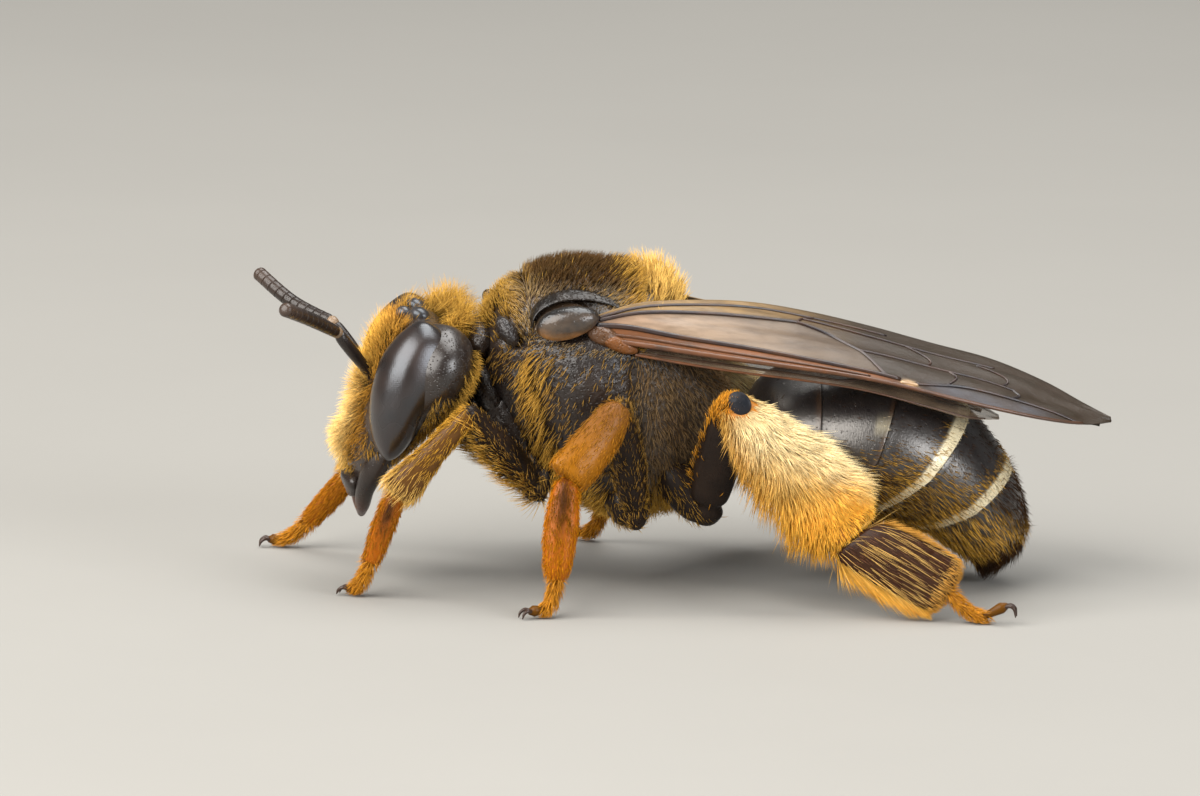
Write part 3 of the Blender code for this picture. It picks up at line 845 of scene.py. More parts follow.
# line of the edge over each wing scale (x, z), how far aside and how much lower it lies; its dark tint is painted
# shadow
TEGULA_SHADOW_RIM = ((-2.15, 3.58), (-2.11, 3.76), (-1.96, 3.90), (-1.70, 3.985), (-1.40, 3.99), (-1.12, 3.93), (-0.98, 3.88))
RIM_ASIDE, RIM_DROP = 1.02, 0.02
LOBE = (-2.46, 3.49)  # middle of the lobe in front of each wing scale, (x, z)


def tegula_rim(sign):
    """The edge of the back that overhangs a wing scale, a thin strip that carries painted shadow."""
    spots = np.array([(x, sign * RIM_ASIDE, z - RIM_DROP) for x, z in TEGULA_SHADOW_RIM])
    outward = np.array((0, sign * 0.13, -0.04))
    ways = unit(np.gradient(spots, axis=0))
    rows = [(spots[0], Y_AXIS * 0, Y_AXIS * 0, Y_AXIS * 0)]
    for share, spot, way in zip(np.linspace(0, 1, len(spots)), spots, ways):
        out = np.cross(way, Y_AXIS)
        thick = 0.012 + 0.028 * math.sin(math.pi * share)
        rows.append((spot, outward, out * thick, -out * thick))
    rows.append((spots[-1] + ways[-1] * 0.02, Y_AXIS * 0, Y_AXIS * 0, Y_AXIS * 0))
    return Form(rows)


def make_thorax():
    bm = bmesh.new()
    tegula = middle_of("tegula_left") + TEGULA_SHIFT

    def colour(points, _place, _angle):
        x, y, z = points.T
        grey = rise_to(x, -0.95, -0.5) * rise_to(-z, -3.3, -2.9)
        tints = mixed((1.0, 0.85, 0.8), (4.0, 3.2, 2.1), grey)
        tints = mixed(tints, (3.6, 2.6, 1.7), 0.9 * rise_to(z, 3.42, 3.6) * rise_to(x, -2.5, -2.3))
        shadow = dip(in_oval(x, z, tegula, TEGULA_GROOVE), 1.0, 0.14)
        shadow *= rise_to(np.abs(y), 0.8, 1.0) * rise_to(z, tegula[2] - 0.1, tegula[2] + 0.1)
        return mixed(tints, (0.15, 0.12, 0.12), shadow)

    add_form(bm, thorax_form(), 128, 96, colour)
    for sign in SIDES.values():
        # the edge over each wing scale, tinted nearly black: painted shadow in the gap above the scale
        add_form(bm, tegula_rim(sign), 20, 60, even_tint(0.15))
        # the front lobe, two plates at the wing's root, and two swellings of the chest above the fore leg
        lobe = Matrix.Rotation(math.radians(-35), 3, "Y") @ Matrix.Rotation(sign * 0.5, 3, "X")
        add_ball(bm, (LOBE[0], sign * 1.04, LOBE[1]), (0.12, 0.16, 0.23), lobe, 28, 20, (1.0, 0.95, 1.0))
        plate = Matrix.Rotation(math.radians(20), 3, "Y")
        add_ball(bm, (-1.22, sign * 1.40, 3.50), (0.24, 0.12, 0.13), plate, 20, 14, (6, 3.0, 1.2))
        add_ball(bm, (-1.02, sign * 1.45, 3.40), (0.26, 0.10, 0.10), plate, 20, 14, (11, 4.4, 0.9))
        chest = Matrix.Rotation(math.radians(-24), 3, "Y")
        add_ball(bm, (-2.34, sign * 0.42, 2.14), (0.34, 0.40, 0.68), chest, 36, 28, (0.6, 0.45, 0.4))
        add_ball(bm, (-2.62, sign * 0.44, 2.60), (0.20, 0.36, 0.40), chest, 28, 20, (0.7, 0.5, 0.4))
    # the collar, below and above the neck, tinted darker than the rest of the shell as painted shade in the gap between
    # head and thorax
    add_ball(bm, (-2.84, 0, 2.40), (0.24, 0.60, 0.26), around=36, along=24, tint=(0.5, 0.4, 0.4))
    add_ball(bm, (-2.76, 0, 3.20), (0.24, 0.66, 0.30), around=36, along=24, tint=(0.7, 0.5, 0.4))
    add_ball(bm, middle_of("waist"), (0.34, 0.26, 0.26))
    piece_from("thorax_shell", bm, shell_paint("rugged"), ["thorax", "waist"])
    bm = bmesh.new()
    for side, sign in SIDES.items():
        middle = (0, 0, 0.02)
        verts = add_ball(bm, middle, TEGULA_HALF, around=44, along=32)
        layer = tint_layer(bm)
        for vert in verts:
            x, _, z = vert.co
            amber = float(rise_to(-z - 0.25 * x, -0.02, 0.14))
            rim = float(rise_to(in_oval(x, z, middle, TEGULA_HALF), 0.88, 0.97))
            vert[layer] = (*(mixed((1.0, 1.0, 1.0), (5.0, 3.4, 1.7), amber) * (1 - 0.8 * rim)), 1.0)
            vert.co.z *= 1.0 - 0.15 * x / TEGULA_HALF[0]
        turn = Matrix.Rotation(math.radians(-14), 3, "Y") @ Matrix.Rotation(sign * -0.35, 3, "X")
        place = Matrix.Translation(Vector(middle_of(f"tegula_{side}")) + Vector(TEGULA_SHIFT)) @ turn.to_4x4()
        bmesh.ops.transform(bm, matrix=place, verts=verts)
    piece_from("tegulae", bm, tegula_paint(), ["tegula_left", "tegula_right"])


# ---------------------------------------------------------------- abdomen

# (x, z, tilt of the axis below level in degrees, half height, half width), slimmer than the solids by the coat
ABDOMEN_AXIS = (
    (0.78, 2.06, 0, 0.34, 0.40),
    (1.12, 1.99, 0, 0.80, 1.06),
    (1.72, 1.95, 4, 1.01, 1.42),
    (2.42, 1.90, 14, 1.10, 1.56),
    (3.10, 1.62, 34, 0.99, 1.46),
    (3.74, 1.13, 46, 0.74, 1.18),
    (4.12, 0.62, 66, 0.45, 0.76),
    (4.06, 0.24, 96, 0.15, 0.22),
)
TERGITE_ENDS = (0.0, 1.85, 2.95, 3.98, 4.98, 6.0, 7.0)
LAST_PLATE = len(TERGITE_ENDS) - 1
FRONT_ROW, RIM_ROW = 2, 8  # rows of a plate's form where it leaves the plate before it, and at its rim
BANDED = (3, 4)  # the plates with a pale band
BAND_COLOUR = (0.88, 0.77, 0.51)
BAND_SWEEP = 0.30  # how far rings lean forward below, as a share of their half height
PATCH_LEVEL = 2.34  # height of the small pale patch on each side of the second plate


def abdomen_ring(share, size=1.0, back=0.0):
    """One ring of the abdomen, its top swept back and its lower half forward; back slides it along the axis."""
    x, z, tilt, half_height, half_width = spline(ABDOMEN_AXIS, np.array([share / (len(ABDOMEN_AXIS) - 1)]))[0]
    tilt = math.radians(tilt)
    up = np.array((math.sin(tilt), 0, math.cos(tilt)))
    axis = np.array((math.cos(tilt), 0, -math.sin(tilt)))
    centre = np.array((x, 0, z)) + axis * back
    sweep = BAND_SWEEP * float(rise_to(share, 1.5, 3.0) * (1 - rise_to(share, 5.0, 6.0)))
    top = (up + axis * sweep * 0.35) * half_height * size
    return centre, Y_AXIS * half_width * size, top, -(up + axis * sweep) * half_height * size


def tergite_form(number):
    """One ring plate: its front slides under the rim before it, and its own rim turns in over the next."""
    front, rear = TERGITE_ENDS[number - 1], TERGITE_ENDS[number]
    rows = [abdomen_ring(max(front - 0.10, 0), 0.0), abdomen_ring(max(front - 0.06, 0), 0.80 if number > 1 else 0.6)]
    for row in range(FRONT_ROW, RIM_ROW + 1):
        share = (row - FRONT_ROW) / (RIM_ROW - FRONT_ROW)
        swell = 0.955 + 0.045 * share**0.5 if number > 1 else 0.985 + 0.015 * share
        rows.append(abdomen_ring(front + (rear - front) * share, swell))
    if number < LAST_PLATE:
        rows += [abdomen_ring(rear, 0.985, 0.02), abdomen_ring(rear, 0.93, 0.0), abdomen_ring(rear, 0.5, -0.1)]
        rows.append(abdomen_ring(rear, 0.0, -0.12))
    else:
        rows += [abdomen_ring(rear, 0.6, 0.05), abdomen_ring(rear, 0.0, 0.07)]
    return Form(rows, square=0.96)


def plate_axis(form):
    """From the middle of a plate's front to the middle of its rim."""
    return unit(form.rows[RIM_ROW, :3] - form.rows[FRONT_ROW, :3])


def past_rim(points, number):
    """How far points lie behind a plate's rim."""
    form = tergite_form(number)
    axis = plate_axis(form)
    centre, _, top, down = form.rows[RIM_ROW].reshape(4, 3)
    away = points - centre
    up = unit(top - axis * (top @ axis))
    level = away @ up
    lean = np.where(level > 0, (top @ axis) / (top @ up), (down @ axis) / (down @ up))
    return away @ axis - level * lean


def make_abdomen():
    cream = np.array(BAND_COLOUR) / np.array(bpy.context.scene.bee_shell.black)
    for number in range(1, LAST_PLATE + 1):
        bm = bmesh.new()

        def colour(points, place, _angle, number=number):
            edge = rise_to(place, 0.635, 0.655) * (number < LAST_PLATE)
            tints = mixed((0.8, 0.75, 0.85), (3.0, 1.7, 0.9), edge * 0.8)
            if number in BANDED:
                band = rise_to(place, 0.575, 0.60) * (1 - rise_to(place, 0.69, 0.71))
                tints = mixed(tints, cream * 0.85, band * (0.55 + 0.45 * rise_to(np.abs(points[:, 1]), 0.3, 0.9)))
            if number == 2:
                patch = rise_to(place, 0.56, 0.60) * (1 - rise_to(place, 0.69, 0.71))
                tints = mixed(tints, cream * 0.26, patch * dip(points[:, 2], PATCH_LEVEL, 0.09) * 0.8)
            return tints

        add_form(bm, tergite_form(number), 96, 72, colour)
        piece_from(f"tergite_{number}", bm, tergite_paint(), [f"abdomen_{number}"])


# ---------------------------------------------------------------- wings

# (x, outer edge y, outer edge z, inner edge y, inner edge z) of the left wings, as the thin skins lie in the solids
FOREWING = (
    (-1.30, -1.46, 3.46, -1.36, 3.78),
    (-0.75, -1.53, 3.41, -1.18, 3.91),
    (0.00, -1.63, 3.32, -0.92, 3.91),
    (0.80, -1.70, 3.22, -0.62, 3.83),
    (1.60, -1.72, 3.12, -0.42, 3.67),
    (2.40, -1.70, 2.99, -0.32, 3.47),
    (3.20, -1.62, 2.79, -0.28, 3.25),
    (4.00, -1.46, 2.58, -0.27, 3.04),
    (4.70, -1.22, 2.40, -0.31, 2.76),
    (5.22, -0.92, 2.30, -0.40, 2.49),
    (5.57, -0.64, 2.28, -0.56, 2.33),
)
HINDWING = (
    (-0.80, -1.46, 3.28, -1.35, 3.36),
    (-0.20, -1.54, 3.19, -1.10, 3.40),
    (0.60, -1.58, 3.08, -0.85, 3.36),
    (1.40, -1.60, 2.99, -0.75, 3.25),
    (2.20, -1.56, 2.86, -0.70, 3.10),
    (3.00, -1.46, 2.64, -0.68, 2.90),
    (3.60, -1.30, 2.46, -0.72, 2.67),
    (4.04, -1.04, 2.40, -0.96, 2.44),
)
WING_LIFT = {"forewing": 0.0, "hindwing": -0.02}
VEIN_COLOURS = {"forewing": (0.014, 0.012, 0.016), "hindwing": (0.10, 0.06, 0.035)}
RIGHT_WING_DROP = 0.30  # the right wings are folded under the left ones
SKIN_THICKNESS = 0.012
VEIN_ROWS, VEIN_WEIGHT, VEIN_LIFT = 16, 0.8, 0.004  # rings of a vein, share of its thickness, height over the skin
STIGMA_COLOUR = (0.75, 0.50, 0.27)
# (share of the wing's length, share of its breadth) along the edges of the pale cell, as the veins there run
RADIUS_LINE = ((0, 0.50), (0.04, 0.44), (0.09, 0.34), (0.17, 0.24), (0.29, 0.18), (0.42, 0.12), (0.53, 0.09), (1, 0.09))
MEDIA_LINE = ((0, 0.72), (0.22, 0.69), (0.37, 0.68), (0.42, 0.58), (0.46, 0.42), (0.49, 0.25), (0.51, 0.09), (1, 0.09))
# Each vein: (half thickness at its start and end, points as share of the wing's length and of its breadth)
FOREWING_VEINS = {
    "costa": (0.050, 0.026, ((0.00, 0.02), (0.10, 0.0), (0.30, 0.0), (0.54, 0.0), (0.70, 0.0), (0.88, 0.01))),
    "radius": (0.052, 0.040, RADIUS_LINE[:-1]),
    "subcosta": (0.030, 0.020, ((0.00, 0.22), (0.09, 0.14), (0.20, 0.09), (0.35, 0.06), (0.48, 0.04))),
    "stigma": (0.030, 0.030, ((0.535, 0.05), (0.545, 0.06), (0.56, 0.06))),
    "marginal": (0.030, 0.022, ((0.56, 0.08), (0.64, 0.20), (0.74, 0.21), (0.83, 0.13), (0.87, 0.02))),
    "media": (0.036, 0.028, ((0.01, 0.72), (0.12, 0.71), (0.22, 0.69), (0.30, 0.67), (0.37, 0.68))),
    "basal": (0.028, 0.028, ((0.37, 0.68), (0.42, 0.58), (0.46, 0.42), (0.49, 0.25), (0.51, 0.10))),
    "cross": (0.024, 0.024, ((0.37, 0.68), (0.38, 0.77), (0.40, 0.85))),
    "anal": (0.028, 0.020, ((0.01, 0.84), (0.15, 0.87), (0.30, 0.88), (0.40, 0.85), (0.52, 0.84))),
    "sector": (0.024, 0.020, ((0.47, 0.38), (0.54, 0.40), (0.62, 0.42), (0.73, 0.40))),
    "submarginal_1": (0.022, 0.020, ((0.62, 0.42), (0.63, 0.30), (0.61, 0.16))),
    "submarginal_2": (0.022, 0.020, ((0.73, 0.40), (0.74, 0.30), (0.72, 0.21))),
    "recurrent_1": (0.020, 0.018, ((0.58, 0.41), (0.59, 0.54), (0.55, 0.66))),
    "recurrent_2": (0.020, 0.018, ((0.71, 0.41), (0.72, 0.54), (0.67, 0.66))),
    "cubitus": (0.024, 0.018, ((0.38, 0.77), (0.46, 0.70), (0.55, 0.66), (0.62, 0.68), (0.70, 0.76))),
}
HINDWING_VEINS = {
    "costa": (0.026, 0.012, ((0.00, 0.02), (0.25, 0.0), (0.60, 0.0), (0.92, 0.03))),
    "radius": (0.026, 0.016, ((0.02, 0.20), (0.25, 0.16), (0.50, 0.14), (0.60, 0.30), (0.85, 0.34))),
    "media": (0.024, 0.016, ((0.02, 0.45), (0.30, 0.50), (0.55, 0.60), (0.80, 0.66))),
}


def wing_point(kind, sign, u, v, lift=0.0):
    """A point on a wing: u from root to tip, v from its leading edge to its inner margin."""
    u, v = np.atleast_1d(u).astype(float), np.atleast_1d(v).astype(float)
    rows = spline(FOREWING if kind == "forewing" else HINDWING, u)
    outer, inner = rows[:, :3], rows[:, (0, 3, 4)]
    points = outer + (inner - outer) * v[:, None]
    chord = np.linalg.norm(inner - outer, axis=1)
    within = np.sin(math.pi * np.clip(v, 0, 1))
    arch = 0.05 * within * chord
    folds = 0.016 * np.sin(v * 17 + u * 5) * rise_to(u, 0.02, 0.2) * within
    ripple = 0.012 * np.sin(v * 9 - u * 31) * rise_to(u, 0.5, 0.75) * within
    points[:, 2] += WING_LIFT[kind] + arch + folds + ripple + lift
    if sign > 0:
        points[:, 2] -= RIGHT_WING_DROP * rise_to(u, 0.0, 0.25)
    points[:, 1] *= -sign
    return points


def wing_tint(kind, u, v):
    """The wing's colour: smoky, with the pale cell, the rusty leading edge and the stigma on the forewing."""
    looks = bpy.context.scene.bee_wings
    smoky, beige, rust = (np.array(c) for c in (looks.smoky, looks.cell, looks.rust))
    if kind == "hindwing":
        return mixed(beige * 1.3, smoky * 3, 0.5 * rise_to(u, 0.7, 0.95))
    radius = np.interp(u, *zip(*RADIUS_LINE))
    media = np.interp(u, *zip(*MEDIA_LINE))
    cell = rise_to(v, radius - 0.01, radius + 0.03) * (1 - rise_to(v, media - 0.05, media + 0.01))
    edge = (1 - rise_to(v, radius - 0.02, radius + 0.02)) * (1 - rise_to(u, 0.50, 0.56))
    top = rise_to(v, media - 0.01, media + 0.04) * (1 - rise_to(u, 0.26, 0.50))
    tints = mixed(np.broadcast_to(smoky, (len(u), 3)), beige * (0.72, 0.62, 0.34), top)
    deep = beige * (1.05 - 0.75 * rise_to(u + 0.10 * v, 0.10, 0.52))[:, None]
    tints = mixed(tints, mixed(deep, rust * 1.2, 0.35 * (1 - rise_to(u, 0.0, 0.2))), cell)
    tints = mixed(tints, rust * (0.88, 0.84, 0.62), edge * 0.85)
    grey = (1 - rise_to(v, 0.12, 0.22)) * rise_to(u, 0.56, 0.6) * (1 - rise_to(u, 0.74, 0.84))
    tints = mixed(tints, (0.085, 0.085, 0.10), grey * 0.7)
    spot = dip(u, 0.548, 0.010) * (1 - rise_to(v, 0.08, 0.14))
    return mixed(tints, STIGMA_COLOUR, spot)


def make_wings():
    looks = bpy.context.scene.bee_wings
    for side, sign in SIDES.items():
        for kind, veins in (("forewing", FOREWING_VEINS), ("hindwing", HINDWING_VEINS)):
            bm = bmesh.new()
            layer = tint_layer(bm)
            bmesh.ops.create_grid(bm, x_segments=150, y_segments=40, size=0.5)
            verts = list(bm.verts)
            u = np.array([v.co.x + 0.5 for v in verts])
            v = np.array([v.co.y + 0.5 for v in verts])
            points = wing_point(kind, sign, u, v)
            for vert, point, tint in zip(verts, points, wing_tint(kind, u, v)):
                vert.co = point
                vert[layer] = (*tint, 1.0)
            bmesh.ops.recalc_face_normals(bm, faces=bm.faces)
            bmesh.ops.solidify(bm, geom=list(bm.faces), thickness=SKIN_THICKNESS)
            piece_from(f"{kind}_skin_{side}", bm, membrane_paint(kind), [f"{kind}_{side}"])
            bm = bmesh.new()
            for name, (thick, thin, spots) in veins.items():
                path = spline(np.array(spots), np.linspace(0, 1, VEIN_ROWS))
                points = wing_point(kind, sign, path[:, 0], path[:, 1], VEIN_LIFT)
                ruddy = name in ("costa", "subcosta")
                base = STIGMA_COLOUR if name == "stigma" else VEIN_COLOURS[kind]
                if ruddy:
                    base = np.array(looks.rust) * 0.7

                def colour(points, place, _angle, base=base, ruddy=ruddy):
                    fade = rise_to(place, 0.3, 0.9) * (0.7 if ruddy else 0.3)
                    return mixed(np.broadcast_to(base, (len(points), 3)), (0.03, 0.016, 0.010), fade)

                radii = np.linspace(thick, thin, VEIN_ROWS) * VEIN_WEIGHT
                add_form(bm, Form(tube_rows(points, radii)), 8, 34, colour)
            piece_from(f"{kind}_veins_{side}", bm, vein_paint(), [f"{kind}_{side}"])


# ---------------------------------------------------------------- legs

# hip, trochanter, knee, ankle and end of the long first foot joint, then the small joints to the claw. The first five
# are those of the solids, but the hind ankles sit a little further in.
LEG_JOINTS = {
    "fore_left": (
        (-2.02, -0.45, 1.80), (-1.98, -0.68, 1.30), (-2.98, -1.56, 2.49), (-3.92, -1.58, 1.38), (-4.21, -1.38, 0.46),
        (-4.27, -1.36, 0.32), (-4.32, -1.33, 0.20), (-4.37, -1.30, 0.12), (-4.46, -1.26, 0.09),
    ),
    "fore_right": (
        (-2.02, 0.45, 1.80), (-1.98, 0.68, 1.30), (-3.26, 1.58, 2.12), (-4.24, 1.80, 1.00), (-4.76, 1.98, 0.36),
        (-4.88, 2.00, 0.24), (-4.98, 2.01, 0.16), (-5.08, 2.02, 0.11), (-5.24, 2.03, 0.10),
    ),
    "mid_left": (
        (-0.90, -0.55, 1.35), (-0.70, -0.90, 0.98), (-1.00, -1.72, 2.60), (-1.74, -2.28, 1.74), (-1.88, -2.56, 0.46),
        (-1.91, -2.60, 0.32), (-1.95, -2.64, 0.20), (-2.01, -2.67, 0.12), (-2.20, -2.74, 0.10),
    ),
    "mid_right": (
        (-0.90, 0.55, 1.35), (-0.70, 0.90, 0.98), (-0.86, 1.74, 2.55), (-0.94, 2.28, 1.55), (-0.82, 2.52, 0.44),
        (-0.85, 2.56, 0.30), (-0.90, 2.60, 0.19), (-0.97, 2.64, 0.12), (-1.14, 2.72, 0.10),
    ),
    "hind_left": (
        (-0.42, -0.60, 1.78), (0.22, -0.92, 1.05), (0.44, -1.70, 2.66), (2.09, -2.35, 1.02), (3.26, -2.72, 0.38),
        (3.42, -2.76, 0.22), (3.54, -2.79, 0.13), (3.68, -2.83, 0.08), (3.96, -2.90, 0.24),
    ),
    "hind_right": (
        (-0.42, 0.60, 1.78), (0.22, 0.92, 1.05), (0.36, 1.72, 2.62), (1.85, 2.37, 1.02), (2.98, 2.70, 0.38),
        (3.13, 2.74, 0.22), (3.25, 2.77, 0.13), (3.39, 2.82, 0.08), (3.66, 2.90, 0.24),
    ),
}
LEG_PIECES = ("coxa", "femur", "tibia", "basitarsus", "tarsus")
# (share of the piece's length, reach up or forward, reach down or back, half thickness)
LEG_RINGS = {
    "coxa": (
        (-0.1, 0.0, 0.0, 0.0), (0.0, 0.20, 0.20, 0.20), (0.35, 0.29, 0.29, 0.28),
        (0.8, 0.26, 0.26, 0.24), (1.02, 0.15, 0.15, 0.14), (1.1, 0.0, 0.0, 0.0),
    ),
    "femur": (
        (-0.09, 0.0, 0.0, 0.0), (-0.06, 0.10, 0.10, 0.10), (0.03, 0.17, 0.17, 0.15),
        (0.11, 0.12, 0.12, 0.12), (0.16, 0.17, 0.16, 0.15), (0.40, 0.22, 0.21, 0.18),
        (0.75, 0.18, 0.17, 0.15), (0.97, 0.13, 0.13, 0.12), (1.04, 0.08, 0.08, 0.08),
        (1.06, 0.0, 0.0, 0.0),
    ),
    "hind_femur": (
        (-0.09, 0.0, 0.0, 0.0), (-0.06, 0.14, 0.14, 0.10), (0.03, 0.22, 0.22, 0.16),
        (0.11, 0.18, 0.18, 0.14), (0.18, 0.26, 0.25, 0.17), (0.45, 0.29, 0.29, 0.17),
        (0.78, 0.25, 0.25, 0.15), (0.96, 0.18, 0.18, 0.13), (1.04, 0.09, 0.09, 0.08),
        (1.06, 0.0, 0.0, 0.0),
    ),
    "fore_tibia": (
        (-0.06, 0.0, 0.0, 0.0), (-0.04, 0.07, 0.07, 0.07), (0.05, 0.12, 0.12, 0.11),
        (0.45, 0.17, 0.15, 0.13), (0.80, 0.23, 0.21, 0.15), (0.93, 0.22, 0.20, 0.13),
        (0.98, 0.11, 0.11, 0.09), (1.0, 0.0, 0.0, 0.0),
    ),
    "mid_tibia": (
        (-0.06, 0.0, 0.0, 0.0), (-0.04, 0.08, 0.08, 0.07), (0.05, 0.20, 0.17, 0.14),
        (0.22, 0.26, 0.23, 0.17), (0.50, 0.29, 0.27, 0.19), (0.78, 0.31, 0.28, 0.19),
        (0.93, 0.32, 0.25, 0.17), (0.975, 0.27, 0.20, 0.13), (0.985, 0.0, 0.0, 0.0),
    ),
    "hind_tibia": (
        (-0.04, 0.0, 0.0, 0.0), (-0.02, 0.10, 0.10, 0.08), (0.04, 0.22, 0.20, 0.14),
        (0.20, 0.32, 0.29, 0.18), (0.50, 0.39, 0.35, 0.20), (0.80, 0.41, 0.37, 0.19),
        (0.92, 0.37, 0.34, 0.15), (0.965, 0.18, 0.18, 0.09), (0.97, 0.0, 0.0, 0.0),
    ),
    "fore_basitarsus": (
        (-0.03, 0.0, 0.0, 0.0), (-0.01, 0.07, 0.07, 0.06), (0.08, 0.13, 0.12, 0.10),
        (0.50, 0.14, 0.13, 0.10), (0.90, 0.11, 0.11, 0.09), (0.99, 0.07, 0.07, 0.06),
        (1.0, 0.0, 0.0, 0.0),
    ),
    "mid_basitarsus": (
        (-0.03, 0.0, 0.0, 0.0), (-0.01, 0.09, 0.09, 0.06), (0.08, 0.17, 0.16, 0.11),
        (0.45, 0.23, 0.21, 0.13), (0.85, 0.18, 0.17, 0.12), (0.98, 0.10, 0.10, 0.07),
        (1.0, 0.0, 0.0, 0.0),
    ),
    "hind_basitarsus": (
        (-0.05, 0.0, 0.0, 0.0), (-0.035, 0.18, 0.22, 0.07), (0.04, 0.33, 0.38, 0.12),
        (0.36, 0.41, 0.41, 0.14), (0.78, 0.43, 0.38, 0.13), (0.93, 0.40, 0.32, 0.11),
        (0.99, 0.28, 0.18, 0.07), (1.0, 0.0, 0.0, 0.0),
    ),
}


def limb_axes(start, end):
    """The direction of a limb, and its upper (or front) and outer sides."""
    along = unit(np.array(end) - np.array(start))
    aside = unit(Y_AXIS - along * along[1])
    up = np.cross(along, aside)
    if up[2] < -0.05 or (abs(up[2]) <= 0.05 and up[0] > 0):
        up = -up
    return along, aside, up


def share_along(points, start, end):
    """How far along a limb points lie: 0 level with its start and 1 level with its end."""
    return (points - start) @ unit(end - start) / np.linalg.norm(end - start)


def limb_form(start, end, rings, square=1.0, slant=0.0):
    """A limb of oval rings. With a slant its first rings lean back on the lower side, as an oblique joint does."""
    start, end = np.array(start), np.array(end)
    along, aside, up = limb_axes(start, end)
    rows = []
    for share, above, below, thick in rings:
        leaning = up + along * slant * (1 - float(rise_to(share, 0.1, 0.7)))
        rows.append((start + (end - start) * share, aside * thick, leaning * above, -leaning * below))
    return Form(rows, square)


def ends_of(leg, piece):
    index = LEG_PIECES.index(piece)
    return [np.array(joint) for joint in LEG_JOINTS[leg][index : index + 2]]


def leg_form(leg, piece):
    pair = leg.split("_")[0]
    rings = LEG_RINGS.get(f"{pair}_{piece}") or LEG_RINGS[piece]
    slant = 0.38 if (pair, piece) == ("hind", "basitarsus") else 0.0
    return limb_form(*ends_of(leg, piece), rings, 0.9 if piece in ("tibia", "basitarsus") else 1.0, slant)


BARE_PLATE = (0.07, 0.10)  # the small bare plate on the hind tibia: how far past the knee, and how far up
SHELL_TINTS = {
    "dark": (1.0, 0.80, 0.7),
    "brown": (7.0, 3.6, 0.9),
    "plum": (2.1, 0.95, 0.48),
    "orange": (20.0, 8.6, 0.2),
    "rusty": (26.0, 8.0, 0.3),
    "olive": (13.0, 6.0, 1.4),
    "amber": (30.0, 14.0, 2.5),
}


def leg_tint(pair, piece):
    """The shell's tint under the hair of one piece of a leg."""
    name = {
        "fore_tibia": "brown",
        "fore_basitarsus": "rusty",
        "mid_tibia": "orange",
        "mid_basitarsus": "rusty",
        "hind_tibia": "amber",
        "hind_basitarsus": "plum",
        "tarsus": "orange",
    }.get(piece if piece == "tarsus" else f"{pair}_{piece}", "dark")
    return SHELL_TINTS[name]


def make_legs():
    """A shell for each leg, with its small foot joints and spurs, and all the claws."""
    for leg, joints in LEG_JOINTS.items():
        pair, side = leg.split("_")
        joints = [np.array(joint) for joint in joints]
        _, _, knee, ankle, *toes = joints
        bm = bmesh.new()
        for piece in LEG_PIECES[:4]:
            tint = np.array(leg_tint(pair, piece))
            steps = 40 if pair == "hind" and piece in ("tibia", "basitarsus", "femur") else 28
            start, end = ends_of(leg, piece)
            ridge = pair in ("fore", "mid") and piece == "basitarsus"
            shin = pair == "mid" and piece == "tibia"

            def colour(points, _place, _angle, tint=tint, start=start, end=end, ridge=ridge, shin=shin, side=side):
                tints = np.ones((len(points), 3)) * tint
                share = share_along(points, start, end)
                off = (points - start) @ limb_axes(start, end)[2]
                if shin:
                    tints = mixed(SHELL_TINTS["olive"], tints, rise_to(share - 0.9 * off, 0.0, 0.85))
                if ridge:
                    outer = rise_to((points - start)[:, 1] * SIDES[side], -0.05, 0.05)
                    tints = mixed(tints, (2.0, 1.0, 0.6), dip(off, 0.03, 0.08) * dip(share, 0.2, 0.38) * outer)
                return tints

            add_form(bm, leg_form(leg, piece), steps, steps, colour)
        if pair == "hind":
            along, aside, up = limb_axes(knee, ankle)
            out = aside * np.sign(aside[1]) * SIDES[side]
            turn = Matrix(np.stack([along, up, out], axis=1).tolist())
            plate = knee + along * BARE_PLATE[0] + up * BARE_PLATE[1] + out * 0.15
            add_ball(bm, plate, (0.17, 0.14, 0.035), turn, 28, 20, (0.9, 1.2, 1.7))
        for i, (a, b) in enumerate(zip(toes, toes[1:])):
            last = i == len(toes) - 2
            radii = (0.04, 0.05, 0.075, 0.06) if last else (0.045, 0.06, 0.085, 0.06)
            rows = [a + (b - a) * share for share in (0.0, 0.35, 0.85, 1.0)]
            tint = np.array(leg_tint(pair, "tarsus")) * (0.35 if last else 1.0)
            add_form(bm, Form(tube_rows(rows, radii)), 16, 14, even_tint(tint))
        way = unit(toes[0] - ankle)
        for lean in (-0.05, 0.07):
            tip = ankle + way * 0.30 + np.array((0.10 + lean, 0, 0))
            spur = Form(tube_rows((ankle + way * 0.02, (ankle + tip) / 2, tip), (0.022, 0.02, 0.008)))
            add_form(bm, spur, 8, 12, even_tint(SHELL_TINTS["orange"]))
        nodes = [f"{piece}_{leg}" for piece in LEG_PIECES]
        piece_from(f"leg_shell_{leg}", bm, shell_paint("waxy"), nodes)
    make_claws()


# (ahead, aside, up) of a claw's bends from the end of its foot, and the lowest that its tip may reach
CLAW = ((0.02, 0.02, 0.0), (0.08, 0.05, 0.02), (0.14, 0.06, -0.02), (0.16, 0.06, -0.12))
CLAW_FLOOR = 0.02


